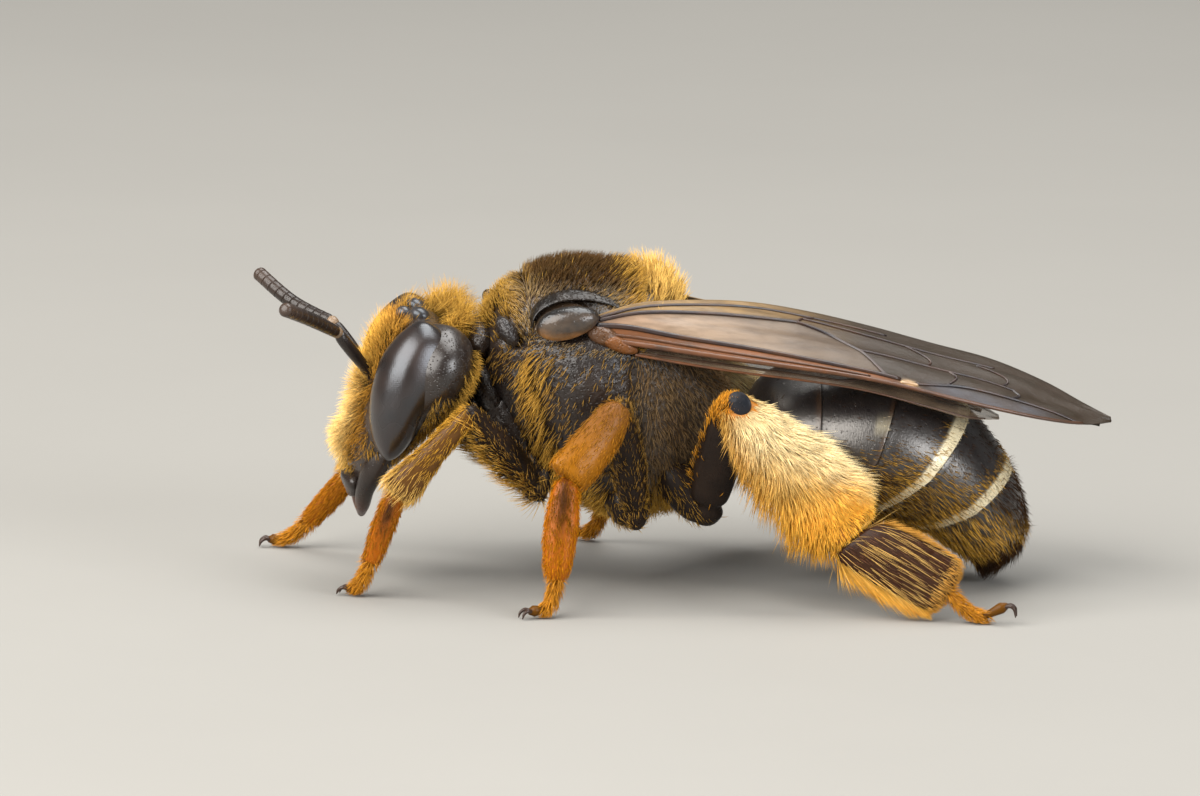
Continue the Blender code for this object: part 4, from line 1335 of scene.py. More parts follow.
def make_claws():
    """A pair of claws on every foot."""
    bm = bmesh.new()
    for joints in LEG_JOINTS.values():
        root, before = np.array(joints[-1]), np.array(joints[-2])
        way = unit((root - before) * (1, 1, 0))
        for sign in SIDES.values():
            aside = np.array((-way[1], way[0], 0)) * sign
            spots = [root + way * ahead + aside * off + (0, 0, rise) for ahead, off, rise in CLAW]
            spots[-1][2] = max(spots[-1][2], CLAW_FLOOR)
            form = Form(tube_rows(spots, (0.030, 0.027, 0.020, 0.007)))
            add_form(bm, form, 10, 20, even_tint((2.2, 1.1, 0.6)))
    piece_from("claws", bm, shell_paint("sleek"), [f"tarsus_{leg}" for leg in LEG_JOINTS])


# ---------------------------------------------------------------- coat of each region


def hair_colours(*names):
    """Colours of hair from the coat's settings."""
    return [np.array(getattr(bpy.context.scene.bee_coat, name)) for name in names]


def clear_of_eyes(points):
    """0 where the eyes and ocelli stand, little on the near side of the dome under the ocelli, 1 elsewhere."""
    height, aside, depth = head_place(points)
    levels, fronts, rears = np.array(EYE_ROWS[::-1]).T
    inside = (np.abs(height - EYE_LEVEL) < 0.97) & (np.abs(aside) > 0.62)
    inside &= (depth < np.interp(height, levels, fronts) + 0.04) & (depth > np.interp(height, levels, rears) - 0.02)
    free = np.where(inside, 0.0, 1.0)
    for place in OCELLI:
        gap = np.linalg.norm(points - ocellus_at(place), axis=1)
        free *= rise_to(gap, 0.13, 0.22)
    dome = in_oval(height, depth, (0.80, 0.17), (0.20, 0.30))
    return free * np.where((dome < 1) & (aside < 0.0), 0.12, 1.0)


def head_regions(points):
    """How much each place belongs to the profile, the strip beside it, the vertex, the tuft, the cheek and its rim."""
    height, aside, depth = head_place(points)
    out = np.abs(aside)
    front = rise_to(depth, 0.16, 0.38)
    profile = front * (1 - rise_to(out, 0.20, 0.54))
    # the crown is wider on the right, where its hair covers the far eye
    top = rise_to(height, 0.62, 0.78) * (1 - rise_to(out - 0.2 * (aside > 0), 0.50, 0.72))
    top *= 1 - front * rise_to(-height, -0.78, -0.66)
    vertex = top * rise_to(depth, -0.02, 0.12)
    cheek = (1 - front) * (1 - top) * rise_to(out, 0.6, 0.85)
    rim = cheek * rise_to(-depth, 0.44, 0.56)
    return profile * (1 - top), (front - profile) * (1 - top), vertex, top - vertex, cheek - rim, rim


def make_head_coat():
    looks = bpy.context.scene.bee_coat
    gold, pale, dark = hair_colours("gold", "pale", "dark")

    def density(points, _out):
        height, aside, depth = head_place(points)
        profile, beside, vertex, tuft, cheek, rim = head_regions(points)
        bare = cheek * rise_to(height, 0.02, 0.22) * (1 - rise_to(-depth, 0.40, 0.54))
        jaw = rise_to(-height, 1.05, 1.30)
        crest = rise_to(aside, 0.1, 0.3)
        thick = 0.9 * profile + 0.40 * beside + (0.22 + 0.9 * crest) * vertex + tuft + 0.5 * cheek + 0.9 * rim + 0.04
        return clear_of_eyes(points) * thick * (1 - 0.75 * jaw) * (1 - bare)

    roots = roots_on(head_form(), int(10500 * looks.density), 11, density)
    height, aside, depth = head_place(roots[0])
    profile, beside, vertex, tuft, cheek, rim = head_regions(roots[0])
    low = rise_to(-height, -0.1, 0.7)
    crest = rise_to(aside, 0.1, 0.3)
    length = (0.27 + 0.07 * rise_to(height, 0.0, 0.3) - 0.20 * rise_to(height, 0.40, 0.75)) * profile + 0.13 * beside
    tall = (1 - 0.6 * rise_to(-aside, 0.2, 0.5)) * (1 - 0.6 * rise_to(-depth, 0.22, 0.48))
    length += (0.09 + 0.21 * crest) * vertex + 0.56 * tuft * tall + 0.13 * cheek + 0.14 * rim
    length *= 1 - 0.35 * rise_to(-height, 0.9, 1.3)
    lie = (
        profile[:, None] * (HEAD_FORWARD * 0.5 - HEAD_UP * (1.1 * low - 0.5)[:, None])
        + beside[:, None] * (HEAD_FORWARD * 0.4 - HEAD_UP * (1.5 * low - 0.3)[:, None])
        + (vertex + tuft)[:, None] * (HEAD_UP * 0.8 - HEAD_FORWARD * 0.15)
        + rim[:, None] * (-HEAD_FORWARD * 0.9 - HEAD_UP * 0.35)
        + cheek[:, None] * (-HEAD_UP - HEAD_FORWARD * 0.4)
        + Y_AXIS * np.sign(aside)[:, None] * 0.12
    )
    # pale hair low on the front of the face, brightened past the pale setting: partly its own colour, partly painted
    # rim light
    tint = mixed(gold, pale * 1.25, low * rise_to(depth, 0.32, 0.48) * profile)
    tint = mixed(tint, gold * (0.62, 0.5, 0.45), profile * rise_to(height, 0.35, 0.7))
    tint = mixed(tint, gold * (0.56, 0.46, 0.36), 0.9 * beside)
    tint = mixed(tint, mixed(dark * 2, gold, 0.35), 0.8 * vertex * (1 - 0.8 * crest))
    tint = mixed(tint, gold * 0.72, tuft)
    tint = mixed(tint, gold * 0.55, cheek)
    coat(
        "head_coat", ["head"], "shell_and_hair", roots, length=length, width=looks.width * 0.68, lie=lie, tint=tint,
        rise=66 - 26 * cheek - 16 * beside, curl=0.22, unruly=0.60, seed=12, root=0.32,
    )


def thorax_regions(points):
    """How much each place belongs to the short-haired disc, the shield behind it, the collar and the sides."""
    x, y, z = points.T
    top = rise_to(z + 0.30 * (np.abs(y) - 0.8), 3.35, 3.65)
    disc = top * rise_to(x, -2.42, -2.20) * (1 - rise_to(x, -0.74, -0.64))
    shield = rise_to(z, 3.55, 3.74) * rise_to(x, -0.72, -0.64)
    collar = rise_to(-x, 2.28, 2.42) * rise_to(z, 3.15, 3.40)
    return disc, shield, collar, (1 - top) * (1 - collar)


def flank_regions(points):
    """How much each place belongs to the tuft behind the head, the fringe below it, the underside and the rear."""
    x, _, z = points.T
    tuft = dip(x, -2.10, 0.22) * dip(z, 3.02, 0.28)
    fringe = dip(x + 0.30 * (z - 2.2), -1.98, 0.16) * rise_to(-z, -3.0, -2.6)
    return tuft, fringe, rise_to(-z, -1.7, -1.2), rise_to(x, -0.95, -0.65)


def open_skin(points):
    """0 on the bare places (wing scales, wing roots, front lobes) and little beside the neck and at the waist."""
    x, y, z = points.T
    scale = in_oval(x, z, middle_of("tegula_left") + TEGULA_SHIFT, (0.44, 0.28))
    lobe = in_oval(x, z, LOBE, (0.15, 0.21))
    root = (np.abs(x + 1.15) < 0.35) & (np.abs(z - 3.55) < 0.22)
    free = np.where(((scale < 1) | (lobe < 1) | root) & (np.abs(y) > 0.8), 0, 1)
    collar = in_oval(x, z, (-2.70, 3.48), (0.29, 0.34))
    free = free * np.where((collar < 1) & (np.abs(y) > 0.35), 0.12, 1)
    return free * np.where(x > 0.5, 0.3, 1)


def make_back_coat():
    """Short hair of the back, with a dark crest along its middle."""
    looks = bpy.context.scene.bee_coat
    gold, dark = hair_colours("gold", "dark")

    def density(points, _out):
        return open_skin(points) * thorax_regions(points)[0]

    roots = roots_on(thorax_form(), int(10500 * looks.density), 21, density)
    x, y, z = roots[0].T
    ends = np.maximum(rise_to(-x, 1.95, 2.45), rise_to(x, -1.20, -0.75))
    crest = rise_to(z, 3.86, 4.08)
    tint = mixed((0.36, 0.255, 0.125), dark * (1.2, 1.4, 1.0), crest)
    golden = mixed(gold * 0.75, gold * 0.48, rise_to(-x, 1.6, 2.2))
    speck = np.random.default_rng(5).random(len(x)) < 0.02 + 0.95 * ends**1.5
    coat(
        "back_coat", ["thorax"], "shell_and_hair", roots,
        length=0.055 + 0.12 * crest + 0.10 * ends, width=looks.width * 0.75,
        lie=np.stack([0.4 - 0.9 * rise_to(-x, 1.9, 2.3), 0.2 * y, np.full_like(x, 0.5)], axis=1),
        tint=mixed(tint, golden, np.where(speck, 0.85, 0.0)),
        rise=40 + 38 * np.maximum(crest, ends), curl=0.2, unruly=0.26, levels=2, seed=22,
    )


def make_shield_coat():
    """Long hair of the shield behind the back, and of the collar."""
    looks = bpy.context.scene.bee_coat
    gold, pale = hair_colours("gold", "pale")

    def density(points, _out):
        _, shield, collar, _ = thorax_regions(points)
        return open_skin(points) * (shield + 0.8 * collar)

    roots = roots_on(thorax_form(), int(4000 * looks.density), 25, density)
    x, y, _ = roots[0].T
    _, shield, collar, _ = thorax_regions(roots[0])
    length = 0.40 * shield * (1 - 0.5 * rise_to(x, -0.25, 0.1)) + 0.18 * collar
    coat(
        "shield_coat", ["thorax"], "shell_and_hair", roots,
        length=np.clip(length, 0.08, 0.42), width=looks.width * 0.9,
        lie=np.stack([0.35 * shield - 0.8 * collar, 0.15 * y, np.ones_like(x)], axis=1),
        tint=mixed(gold * 0.50, mixed(gold, pale, 0.30) * 0.92, rise_to(x, -1.0, -0.4)),
        rise=62, curl=0.10, unruly=0.42, seed=26,
    )


def make_flank_coat():
    """Hair of the sides and the underside, with golden tufts."""
    looks = bpy.context.scene.bee_coat
    gold, dark = hair_colours("gold", "dark")

    def density(points, _out):
        x, _, z = points.T
        tuft, fringe, under, rear = flank_regions(points)
        hollow = rise_to(-x - 0.30 * (z - 2.2), 2.12, 2.24) * (1 - rise_to(z, 2.75, 2.9))
        bulge = dip(x, -1.42, 0.42) * dip(z, 2.80, 0.42)
        base = (0.42 - 0.24 * bulge) * (1 - 0.9 * hollow) + 0.75 * rear
        side = thorax_regions(points)[3]
        return open_skin(points) * side * np.clip(base + 1.5 * tuft + 1.2 * fringe + 0.6 * under, 0.02, 2)

    roots = roots_on(thorax_form(), int(10500 * looks.density), 23, density)
    x, y, _ = roots[0].T
    tuft, fringe, under, rear = flank_regions(roots[0])
    golden = np.clip(tuft + fringe + under, 0, 1)
    coat(
        "flank_coat", ["thorax"], "shell_and_hair", roots,
        length=0.095 + 0.13 * golden + 0.03 * rear, width=looks.width * 0.85,
        lie=np.stack([-0.6 + 1.0 * rise_to(x, -0.9, -0.3), 0.1 * y, -np.ones_like(x)], axis=1),
        tint=mixed(mixed(mixed(dark * 1.5, gold, 0.42), (0.22, 0.145, 0.070), rear), gold * 0.9, golden * 0.9),
        rise=46, curl=0.3, unruly=0.35, seed=24,
    )


LEG_STRIPS, LEG_STRIP = 5, 0.19  # how many strips of the unwrap a leg's pieces take, and the width of one
FOOT_STRIP = 4


def leg_roots(leg, piece, count, seed, density=None, column=0):
    return roots_on(leg_form(leg, piece), count, seed, density, unwrap_strip(column, LEG_STRIPS, LEG_STRIP))


def make_tibia_brush(side):
    """The pollen brush of a hind tibia: cream above, orange towards the foot and golden below."""
    looks = bpy.context.scene.bee_coat
    gold, pale, cream = hair_colours("gold", "pale", "cream")
    leg = f"hind_{side}"
    start, end = ends_of(leg, "tibia")
    along, _, up = limb_axes(start, end)
    plate = start + along * BARE_PLATE[0] + up * BARE_PLATE[1]

    def density(points, out):
        bare = (np.linalg.norm(points - plate, axis=1) < 0.225) & (out[:, 1] * SIDES[side] > 0.3)
        sparse = 0.45 * rise_to(-(out @ up), 0.3, 0.9) + 0.3 * rise_to(share_along(points, start, end), 0.80, 0.92)
        return np.where(bare, 0, 1 - sparse)

    roots = leg_roots(leg, "tibia", int(11500 * looks.density), 31, density, column=0)
    points, out, _ = roots
    share = share_along(points, start, end)
    above = out @ up
    half_depth = 0.38
    level = (points - start) @ up / half_depth
    below = np.maximum(rise_to(-above, 0.15, 0.9), rise_to(-level, 0.55, 0.95))
    edge = rise_to(level, 0.55, 0.9) * rise_to(share, 0.2, 0.4)
    length = 0.10 + 0.16 * rise_to(share, 0.02, 0.14) + 0.10 * rise_to(share, 0.1, 0.4) + 0.13 * edge
    length += 0.22 * below * (0.35 + 0.65 * rise_to(share, 0.1, 0.5))
    length *= 1 - (0.72 - 0.35 * below) * rise_to(share, 0.66, 0.92)
    tint = mixed(cream * (1.1, 1.15, 1.35), mixed(pale, gold, 0.60), rise_to(share - 0.35 * level, 0.10, 0.66))
    tint = mixed(tint, (1.25, 0.68, 0.08), 0.9 * rise_to(share - 0.2 * above, 0.46, 0.84))
    tint = mixed(tint, gold * (0.85, 0.74, 0.5), 0.8 * below)
    tint = mixed(tint, gold * 0.8, 0.8 * (1 - rise_to(share, 0.0, 0.18)))
    coat(
        f"brush_tibia_{side}", [f"tibia_{leg}"], "pollen_brush", roots, length=length, width=looks.width * 0.85,
        lie=along - up * np.clip(0.22 - 0.75 * level, -0.15, 0.9)[:, None], tint=tint,
        rise=20 + 30 * below + 12 * edge, curl=0.08, unruly=0.26, seed=32, root=0.62,
    )


def make_foot_brush(side):
    """The brush round the edges of a hind foot's long joint, with short velvet on its side."""
    looks = bpy.context.scene.bee_coat
    gold, pale = hair_colours("gold", "pale")
    leg = f"hind_{side}"
    start, end = ends_of(leg, "basitarsus")
    along, _, up = limb_axes(start, end)

    def density(points, out):
        above = out @ up
        tip = rise_to((points - start) @ along, 1.14, 1.26)
        return 0.055 + 1.3 * rise_to(-above, 0.6, 0.95) + 0.7 * rise_to(above, 0.75, 0.97) + 0.35 * tip

    roots = leg_roots(leg, "basitarsus", int(3400 * looks.density), 33, density, column=1)
    points, out, _ = roots
    above = out @ up
    far = (points - start) @ along
    tip = rise_to(far, 1.10, 1.24)
    below, top = rise_to(-above, 0.3, 0.9), rise_to(above, 0.5, 0.9)
    edge = np.maximum(np.maximum(below, top), tip)
    velvet = (np.random.default_rng(37).random(len(far)) < 0.72) & (edge < 0.3)
    length = (0.46 + 0.02 * below - 0.25 * top - 0.30 * tip * (1 - top)) * (1 - 0.45 * rise_to(far, 0.60, 1.05))
    tint = mixed(mixed(gold, pale, 0.45) * 1.1, (1.0, 0.54, 0.08), below)
    tint = mixed(tint, (0.60, 0.28, 0.040), np.maximum(0.85 * top, 0.8 * tip))
    coat(
        f"brush_foot_{side}", [f"basitarsus_{leg}"], "pollen_brush", roots,
        length=np.where(velvet, 0.11, length), width=looks.width * 0.45, lie=along,
        tint=np.where(velvet[:, None], (0.15, 0.065, 0.035), tint),
        rise=10 + 16 * edge, curl=0.05, unruly=0.10, seed=34, root=0.6,
    )


def make_knee_coat(side):
    """The short dense hair of a hind knee."""
    looks = bpy.context.scene.bee_coat
    gold, orange = hair_colours("gold", "orange")
    leg = f"hind_{side}"
    start, end = ends_of(leg, "femur")

    def density(points, out):
        share = share_along(points, start, end)
        edge = rise_to(-out[:, 0], 0.75, 0.95) * rise_to(share, 0.2, 0.35)
        return 0.01 + 2.2 * rise_to(share, 0.80, 0.92) + 0.35 * edge

    coat(
        f"knee_coat_{side}", [f"femur_{leg}"], "orange_hair",
        leg_roots(leg, "femur", int(1100 * looks.density), 35, density, column=2),
        length=0.13, width=looks.width * 0.9, lie=unit(end - start), tint=mixed(orange, gold, 0.4) * 0.9,
        rise=40, curl=0.2, unruly=0.3, seed=36,
    )


STRIPE_COLOUR = (0.05, 0.018, 0.006)  # of the dark stripe on the long foot joints of the fore and mid legs


def make_velvet():
    """The short dense hair of the fore and mid legs, and of every foot."""
    looks = bpy.context.scene.bee_coat
    gold, pale, orange, dark = hair_colours("gold", "pale", "orange", "dark")
    for leg, joints in LEG_JOINTS.items():
        pair, side = leg.split("_")
        sign = SIDES[side]
        growth = Growth()

        def on(piece, count, seed, density=None):
            """Roots on a piece and its direction, then each root's share along it, upper side and outer side."""
            start, end = ends_of(leg, piece)
            along, _, up = limb_axes(start, end)
            roots = leg_roots(leg, piece, int(count * looks.density), seed, density, LEG_PIECES.index(piece))
            points, out, _ = roots
            return roots, along, share_along(points, start, end), out @ up, rise_to(out[:, 1] * sign, 0.2, 0.7)

        def thin_outside(_points, out):
            return 1.0 - 0.72 * rise_to(out[:, 1] * sign, 0.35, 0.75)

        if pair == "fore":
            roots, along, *_ = on("femur", 950, 41, lambda _points, out: 0.22 + rise_to(-out[:, 2], -0.1, 0.7))
            low = rise_to(-roots[1][:, 2], 0.0, 0.7)
            growth.add(roots, along, 0.10 + 0.17 * low, mixed(dark * 2.5, gold, 0.35 + 0.6 * low), rise=38)
            roots, along, share, *_ = on("tibia", 2100, 42, thin_outside)
            end = rise_to(share, 0.55, 0.95)
            tint = mixed(gold * (0.80, 0.74, 0.50), mixed(gold, pale, 0.40) * 1.15, end)
            growth.add(roots, along, 0.09 + 0.10 * end, tint, rise=24)
            roots, along, share, above, outer = on("basitarsus", 1500, 43, thin_outside)
            stripe = dip(above, 0.1, 0.5) * dip(share, 0.3, 0.36) * outer
            tint = mixed(mixed(orange, gold, 0.25) * (0.76, 0.70, 0.5), STRIPE_COLOUR, 0.9 * stripe)
            growth.add(roots, along, 0.10, tint, rise=26)
        elif pair == "mid":
            roots, along, share, *_ = on("femur", 1000, 44)
            tint = mixed(dark * 1.8, gold, 0.42 + 0.5 * rise_to(-share, -0.25, -0.05))
            growth.add(roots, along, 0.10, tint, rise=28)
            roots, along, share, above, _ = on("tibia", 1300, 45)
            tint = mixed(orange, orange * (0.40, 0.42, 0.6), 0.85 * (1 - rise_to(share - 0.3 * above, 0.0, 0.75)))
            growth.add(roots, along, 0.085, mixed(tint * 0.70, gold * 0.8, 0.22), rise=22)
            roots, along, share, above, outer = on("basitarsus", 1500, 46)
            stripe = dip(above, 0.1, 0.55) * dip(share, 0.2, 0.36) * outer
            growth.add(roots, along, 0.085, mixed(orange * (0.84, 0.88, 0.5), STRIPE_COLOUR, 0.9 * stripe), rise=22)
        roots, along, *_ = on("coxa", 500, 47)
        growth.add(roots, along, 0.11, gold * 0.6, rise=45)
        toes = Form(tube_rows(joints[4:-1], 0.07))
        roots = roots_on(toes, int(600 * looks.density), 48, None, unwrap_strip(FOOT_STRIP, LEG_STRIPS, LEG_STRIP))
        growth.add(roots, unit(np.array(joints[-2]) - joints[4]), 0.13, mixed(orange * 0.95, gold, 0.35), rise=34)
        growth.coat(
            f"velvet_{leg}", [f"{piece}_{leg}" for piece in LEG_PIECES], "orange_hair", width=looks.width * 0.62,
            curl=0.2, unruly=0.25, levels=2, seed=49, root=0.6,
        )


# number of hairs on each plate: in its band or patch, and over the rest of it
BAND_HAIRS = {2: 140, 3: 4600, 4: 4000}
PLATE_HAIRS = {1: 700, 2: 1700, 3: 3800, 4: 4200, 5: 3600, 6: 1700}
PLATE_STRIP = 0.16
ABDOMEN_HAIR = {"curl": 0.05, "levels": 2}


def plate_roots(number, count, density):
    seed = 50 + number + count % 7
    count = int(count * bpy.context.scene.bee_coat.density)
    return roots_on(tergite_form(number), count, seed, density, unwrap_strip(number - 1, len(PLATE_HAIRS), PLATE_STRIP))


def make_bands():
    """The dense pale hairs of the bands, and of the patch on each side of the second plate."""
    looks = bpy.context.scene.bee_coat
    growth = Growth()
    for number, count in BAND_HAIRS.items():

        def density(points, _out, number=number):
            edge = past_rim(points, number)
            keep = rise_to(edge, -0.15, -0.11) * (1 - rise_to(edge, 0.0, 0.015))
            if number in BANDED:
                return keep * (0.35 + 0.65 * rise_to(np.abs(points[:, 1]), 0.3, 0.9))
            return keep * dip(points[:, 2], PATCH_LEVEL, 0.12)

        roots = plate_roots(number, count, density)
        growth.add(roots, plate_axis(tergite_form(number)), 0.05, BAND_COLOUR, rise=7)
    nodes = [f"abdomen_{number}" for number in BAND_HAIRS]
    growth.coat("abdomen_bands", nodes, "abdomen", width=looks.width * 0.6, unruly=0.03, seed=57, **ABDOMEN_HAIR)


def make_plate_coat():
    """The short hair of every plate: dark above, golden at the sides and towards the tip."""
    looks = bpy.context.scene.bee_coat
    gold, dark = hair_colours("gold", "dark")
    growth = Growth()
    for number, count in PLATE_HAIRS.items():
        banded = number in BANDED
        hind = number > BANDED[-1]

        def density(points, out, number=number, banded=banded, hind=hind):
            low = rise_to(-out[:, 2], -0.45, 0.15)
            edge = past_rim(points, number)
            before_band = rise_to(edge, -0.42, -0.15) * (0.6 if banded else 0.1)
            thick = 0.08 + 0.9 * low + 1.6 * before_band * rise_to(-out[:, 2], -0.75, -0.3) + (1.0 if hind else 0.0)
            return thick * (1 - 0.85 * rise_to(edge, -0.19, -0.14) * banded)

        roots = plate_roots(number, count, density)
        points, out, _ = roots
        golden = 0.75 * rise_to(-out[:, 2], -0.5, 0.0) + 0.7 * rise_to(past_rim(points, number), -0.42, -0.2) * banded
        if hind:
            golden = rise_to(-out[:, 2], -0.2, 0.25) * (number == 5)
        speck = np.random.default_rng(number).random(len(points)) < 0.42
        golden = np.clip(golden, 0, 1) * np.where(speck, 0.2, 1.0)
        length = 0.08 + 0.07 * rise_to(-out[:, 2], -0.3, 0.4) + (0.08 if hind else 0)
        # the golden hair low on the fifth plate is brightened past the gold setting: partly its own bright colour,
        # partly painted light in the shade under the abdomen
        tint = mixed(dark * 0.9, gold * (1.4 if number == 5 else 1.0), golden)
        growth.add(roots, plate_axis(tergite_form(number)), length, tint, rise=24)
    nodes = [f"abdomen_{number}" for number in PLATE_HAIRS]
    growth.coat("abdomen_coat", nodes, "abdomen", width=looks.width * 0.6, unruly=0.22, seed=67, **ABDOMEN_HAIR)


# ---------------------------------------------------------------- stage


def softbox(name, place, target, size, power, colour):
    lamp = bpy.data.lights.new(name, "AREA")
    lamp.shape, lamp.size, lamp.size_y = "RECTANGLE", size[0], size[1]
    lamp.energy, lamp.color = power, colour
    obj = bpy.data.objects.new(name, lamp)
    obj.visible_camera = False
    obj.location = place
    obj.rotation_euler = (target - place).to_track_quat("-Z", "Y").to_euler()
    bpy.context.scene.collection.objects.link(obj)


FLOOR_DROP = 0.000005  # keeps the floor just under the solids' lowest faces
FLOOR_SIZE = 3.0
# (place from the bee's middle, size, colour) of each softbox
SOFTBOXES = {
    "key": ((-0.065, -0.045, 0.060), (0.12, 0.10), (1.0, 0.97, 0.93)),
    "top": ((0.025, 0.015, 0.09), (0.09, 0.06), (1.0, 0.99, 0.97)),
    "fill": ((0.07, -0.07, 0.035), (0.05, 0.05), (0.97, 0.98, 1.0)),
}


def floor_paint():
    looks = bpy.context.scene.bee_stage
    paint = Paint("floor", roughness=0.7, specular_ior_level=0.2)
    base = tuple(looks.floor)
    paint.base(paint.mix(paint.ramp(paint.noise(12, 4), 0.35, 0.65), base, tuple(c * 0.97 for c in base)))
    return paint.material


def make_stage():
    looks = bpy.context.scene.bee_stage
    bm = bmesh.new()
    bmesh.ops.create_grid(bm, x_segments=2, y_segments=2, size=FLOOR_SIZE / 2)
    mesh = bpy.data.meshes.new("floor")
    bm.to_mesh(mesh)
    bm.free()
    mesh.materials.append(floor_paint())
    floor = bpy.data.objects.new("floor", mesh)
    floor.location.z = CAD_BOX[0][2] - FLOOR_DROP
    bpy.context.scene.collection.objects.link(floor)
    world = bpy.data.worlds.new("studio")
    world.use_nodes = True
    sky = world.node_tree.nodes["Background"]
    sky.inputs["Color"].default_value = (*looks.sky, 1)
    sky.inputs["Strength"].default_value = looks.sky_strength
    bpy.context.scene.world = world
    centre = (Vector(CAD_BOX[0]) + Vector(CAD_BOX[1])) / 2
    for name, (place, size, colour) in SOFTBOXES.items():
        softbox(name, centre + Vector(place), centre, size, getattr(looks, name), colour)
    bpy.context.scene.view_settings.view_transform = "Standard"
    add_camera()


def add_camera():
    """A long lens on the bee's left side, a little from the front and above."""
    azimuth, elevation, roll = (math.radians(v) for v in (-5.5, 10.5, 1.5))
    aside = Vector((math.cos(azimuth), math.sin(azimuth), 0))
    tilt = math.sin(elevation)
    up = Vector((-math.sin(azimuth) * tilt, math.cos(azimuth) * tilt, math.cos(elevation)))
    right = aside * math.cos(roll) + up * math.sin(roll)
    top = up * math.cos(roll) - aside * math.sin(roll)
    back = right.cross(top)
    width, distance, sensor = 0.01579, 0.25, 36  # width of the view, and the camera's distance and sensor
    target = right * -0.0010526 + top * 0.002388
    camera = bpy.data.cameras.new("camera")
    camera.sensor_width, camera.lens = sensor, sensor * distance / width
    camera.clip_start, camera.clip_end = 0.01, 3.0
    obj = bpy.data.objects.new("camera", camera)
    obj.matrix_world = Matrix.Translation(target + back * distance) @ Matrix((right, top, back)).transposed().to_4x4()
    bpy.context.scene.collection.objects.link(obj)
    bpy.context.scene.camera = obj


# ---------------------------------------------------------------- settings


def colour_setting(name, description, default):
    return bpy.props.FloatVectorProperty(
        name=name, description=description, default=default, size=3, subtype="COLOR", min=0, soft_max=1
    )


def power_setting(name, description, default):
    return bpy.props.FloatProperty(name=name, description=description, default=default, min=0, unit="POWER")


def share_setting(name, description, default, low, high):
    return bpy.props.FloatProperty(
        name=name, description=description, default=default, min=low, max=high, subtype="FACTOR"
    )


class BeeShell(bpy.types.PropertyGroup):
    black: colour_setting("Shell", "Colour of the shell that every plate's tint multiplies", (0.013, 0.011, 0.010))
    eye: colour_setting("Eyes", "Colour of the compound eyes", (0.010, 0.007, 0.006))
    gloss: share_setting("Roughness", "Roughness of the shell", 0.29, 0.1, 0.9)


class BeeCoat(bpy.types.PropertyGroup):
    gold: colour_setting("Gold", "Hair of the head, collar and flanks", (0.76, 0.43, 0.072))
    pale: colour_setting("Pale gold", "Hair of the face and of the shield behind the back", (0.95, 0.68, 0.26))
    cream: colour_setting("Cream", "Upper part of the pollen brushes", (0.97, 0.77, 0.38))
    orange: colour_setting("Orange", "Velvet of the middle legs and feet", (0.74, 0.26, 0.003))
    dark: colour_setting("Dark", "Short hair of the back and the abdomen", (0.045, 0.022, 0.010))
    density: share_setting("Density", "Share of the full number of hairs", 1.0, 0.05, 1.3)
    width: bpy.props.FloatProperty(
        name="Hair width", description="Width of a hair at its root, in millimetres", default=0.013, min=0.005, max=0.05
    )


class BeeWings(bpy.types.PropertyGroup):
    smoky: colour_setting("Smoky", "Outer part of the wings", (0.028, 0.018, 0.009))
    cell: colour_setting("Cell", "Pale cell behind the leading veins", (0.34, 0.240, 0.160))
    rust: colour_setting("Rust", "Leading veins", (0.22, 0.075, 0.022))
    clear: share_setting("Opacity", "How much of what is behind a wing it hides", 0.86, 0.2, 1.0)


class BeeStage(bpy.types.PropertyGroup):
    floor: colour_setting("Floor", "Colour of the floor", (0.30, 0.292, 0.272))
    sky: colour_setting("Room", "Colour of the room light", (1.0, 0.99, 0.97))
    sky_strength: bpy.props.FloatProperty(
        name="Room light", description="Strength of the room light", default=0.15, min=0
    )
    key: power_setting("Key", "Power of the key softbox", 0.27)
    top: power_setting("Top", "Power of the top softbox", 0.10)
    fill: power_setting("Fill", "Power of the fill softbox", 0.07)


SETTINGS = {"bee_shell": BeeShell, "bee_coat": BeeCoat, "bee_wings": BeeWings, "bee_stage": BeeStage}


# ---------------------------------------------------------------- operators


class BEE_OT_head(bpy.types.Operator):
    """Head shell, eyes, ocelli and jaws"""

    bl_idname = "bee.head"
    bl_label = "Head"

    def execute(self, context):
        make_head()
        return {"FINISHED"}


class BEE_OT_antennae(bpy.types.Operator):
    """Both jointed antennae"""

    bl_idname = "bee.antennae"
    bl_label = "Antennae"

    def execute(self, context):
        make_antennae()
        return {"FINISHED"}


class BEE_OT_thorax(bpy.types.Operator):
    """Thorax shell with its seams, lobes and wing scales"""

    bl_idname = "bee.thorax"
    bl_label = "Thorax"

    def execute(self, context):
        make_thorax()
        return {"FINISHED"}


class BEE_OT_abdomen(bpy.types.Operator):
    """The abdomen's overlapping plates"""

    bl_idname = "bee.abdomen"
    bl_label = "Abdomen"

    def execute(self, context):
        make_abdomen()
        return {"FINISHED"}


class BEE_OT_wings(bpy.types.Operator):
    """Four veined wings, folded"""

    bl_idname = "bee.wings"
    bl_label = "Wings"

    def execute(self, context):
        make_wings()
        return {"FINISHED"}


class BEE_OT_legs(bpy.types.Operator):
    """Six jointed legs with spurs and claws"""

    bl_idname = "bee.legs"
    bl_label = "Legs"

    def execute(self, context):
        make_legs()
        return {"FINISHED"}


class BEE_OT_head_coat(bpy.types.Operator):
    """Hair of the face, crown and cheeks"""

    bl_idname = "bee.head_coat"
    bl_label = "Head coat"

    def execute(self, context):
        make_head_coat()
        return {"FINISHED"}


class BEE_OT_thorax_coat(bpy.types.Operator):
    """Hair of the collar, back, shield and flanks"""

    bl_idname = "bee.thorax_coat"
    bl_label = "Thorax coat"

    def execute(self, context):
        make_back_coat()
        make_shield_coat()
        make_flank_coat()
        return {"FINISHED"}


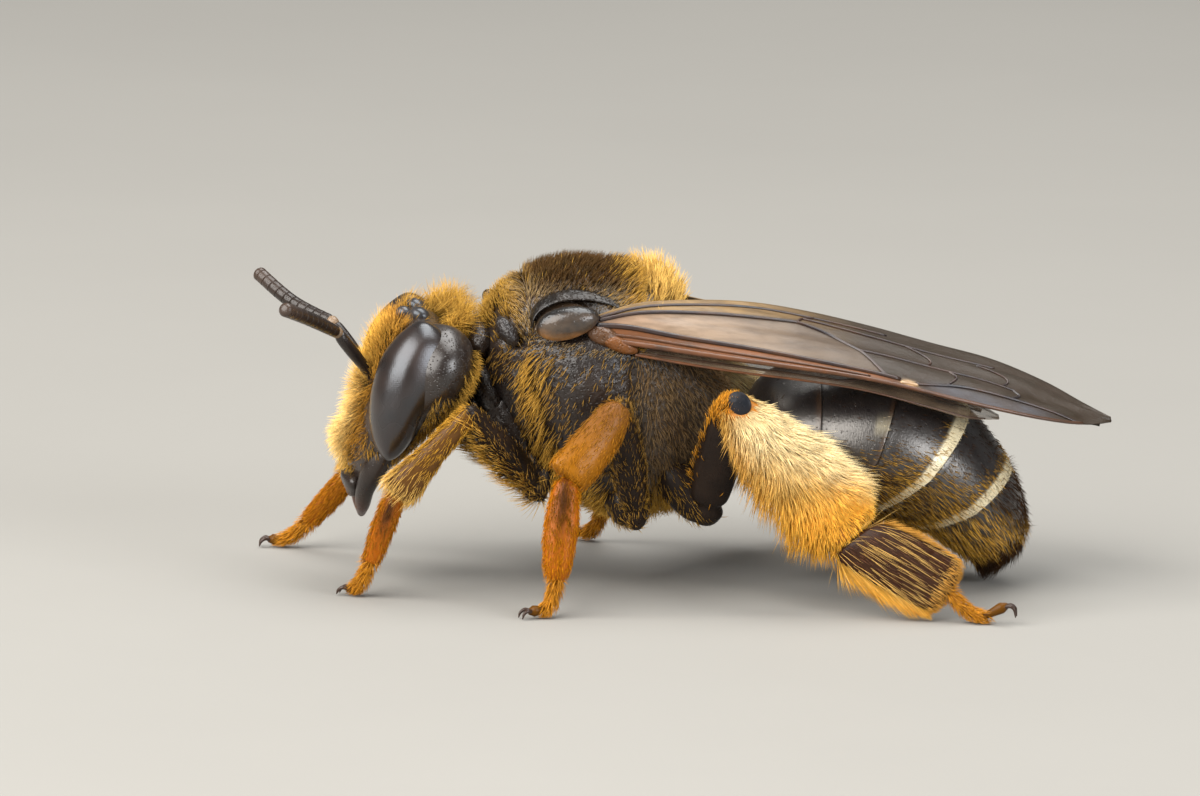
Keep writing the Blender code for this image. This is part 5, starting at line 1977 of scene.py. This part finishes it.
class BEE_OT_leg_coat(bpy.types.Operator):
    """Pollen brushes of the hind legs and velvet of the others"""

    bl_idname = "bee.leg_coat"
    bl_label = "Leg coat"

    def execute(self, context):
        for side in SIDES:
            make_tibia_brush(side)
            make_foot_brush(side)
            make_knee_coat(side)
        make_velvet()
        return {"FINISHED"}


class BEE_OT_abdomen_coat(bpy.types.Operator):
    """Cream bands and short hair of the abdomen"""

    bl_idname = "bee.abdomen_coat"
    bl_label = "Abdomen coat"

    def execute(self, context):
        make_bands()
        make_plate_coat()
        return {"FINISHED"}


class BEE_OT_stage(bpy.types.Operator):
    """Floor, soft studio light and camera"""

    bl_idname = "bee.stage"
    bl_label = "Stage"

    def execute(self, context):
        make_stage()
        return {"FINISHED"}


OPERATORS = (
    BEE_OT_head,
    BEE_OT_antennae,
    BEE_OT_thorax,
    BEE_OT_abdomen,
    BEE_OT_wings,
    BEE_OT_legs,
    BEE_OT_head_coat,
    BEE_OT_thorax_coat,
    BEE_OT_leg_coat,
    BEE_OT_abdomen_coat,
    BEE_OT_stage,
)


class BEE_PT_maker(bpy.types.Panel):
    """Lists the bee's settings and makers"""

    bl_idname = "BEE_PT_maker"
    bl_label = "Loosestrife bee"
    bl_space_type = "VIEW_3D"
    bl_region_type = "UI"
    bl_category = "Bee"

    def draw(self, context):
        for name, kind in SETTINGS.items():
            box = self.layout.box()
            for key in kind.__annotations__:
                box.prop(getattr(context.scene, name), key)
        for operator in OPERATORS:
            self.layout.operator(operator.bl_idname)


def register():
    for kind in (*SETTINGS.values(), *OPERATORS, BEE_PT_maker):
        bpy.utils.register_class(kind)
    for name, kind in SETTINGS.items():
        setattr(bpy.types.Scene, name, bpy.props.PointerProperty(type=kind))


def unregister():
    for name in SETTINGS:
        delattr(bpy.types.Scene, name)
    for kind in reversed((*SETTINGS.values(), *OPERATORS, BEE_PT_maker)):
        bpy.utils.unregister_class(kind)


def main():
    register()
    for operator in OPERATORS:
        group, name = operator.bl_idname.split(".")
        getattr(getattr(bpy.ops, group), name)()


if __name__ == "__main__":
    main()
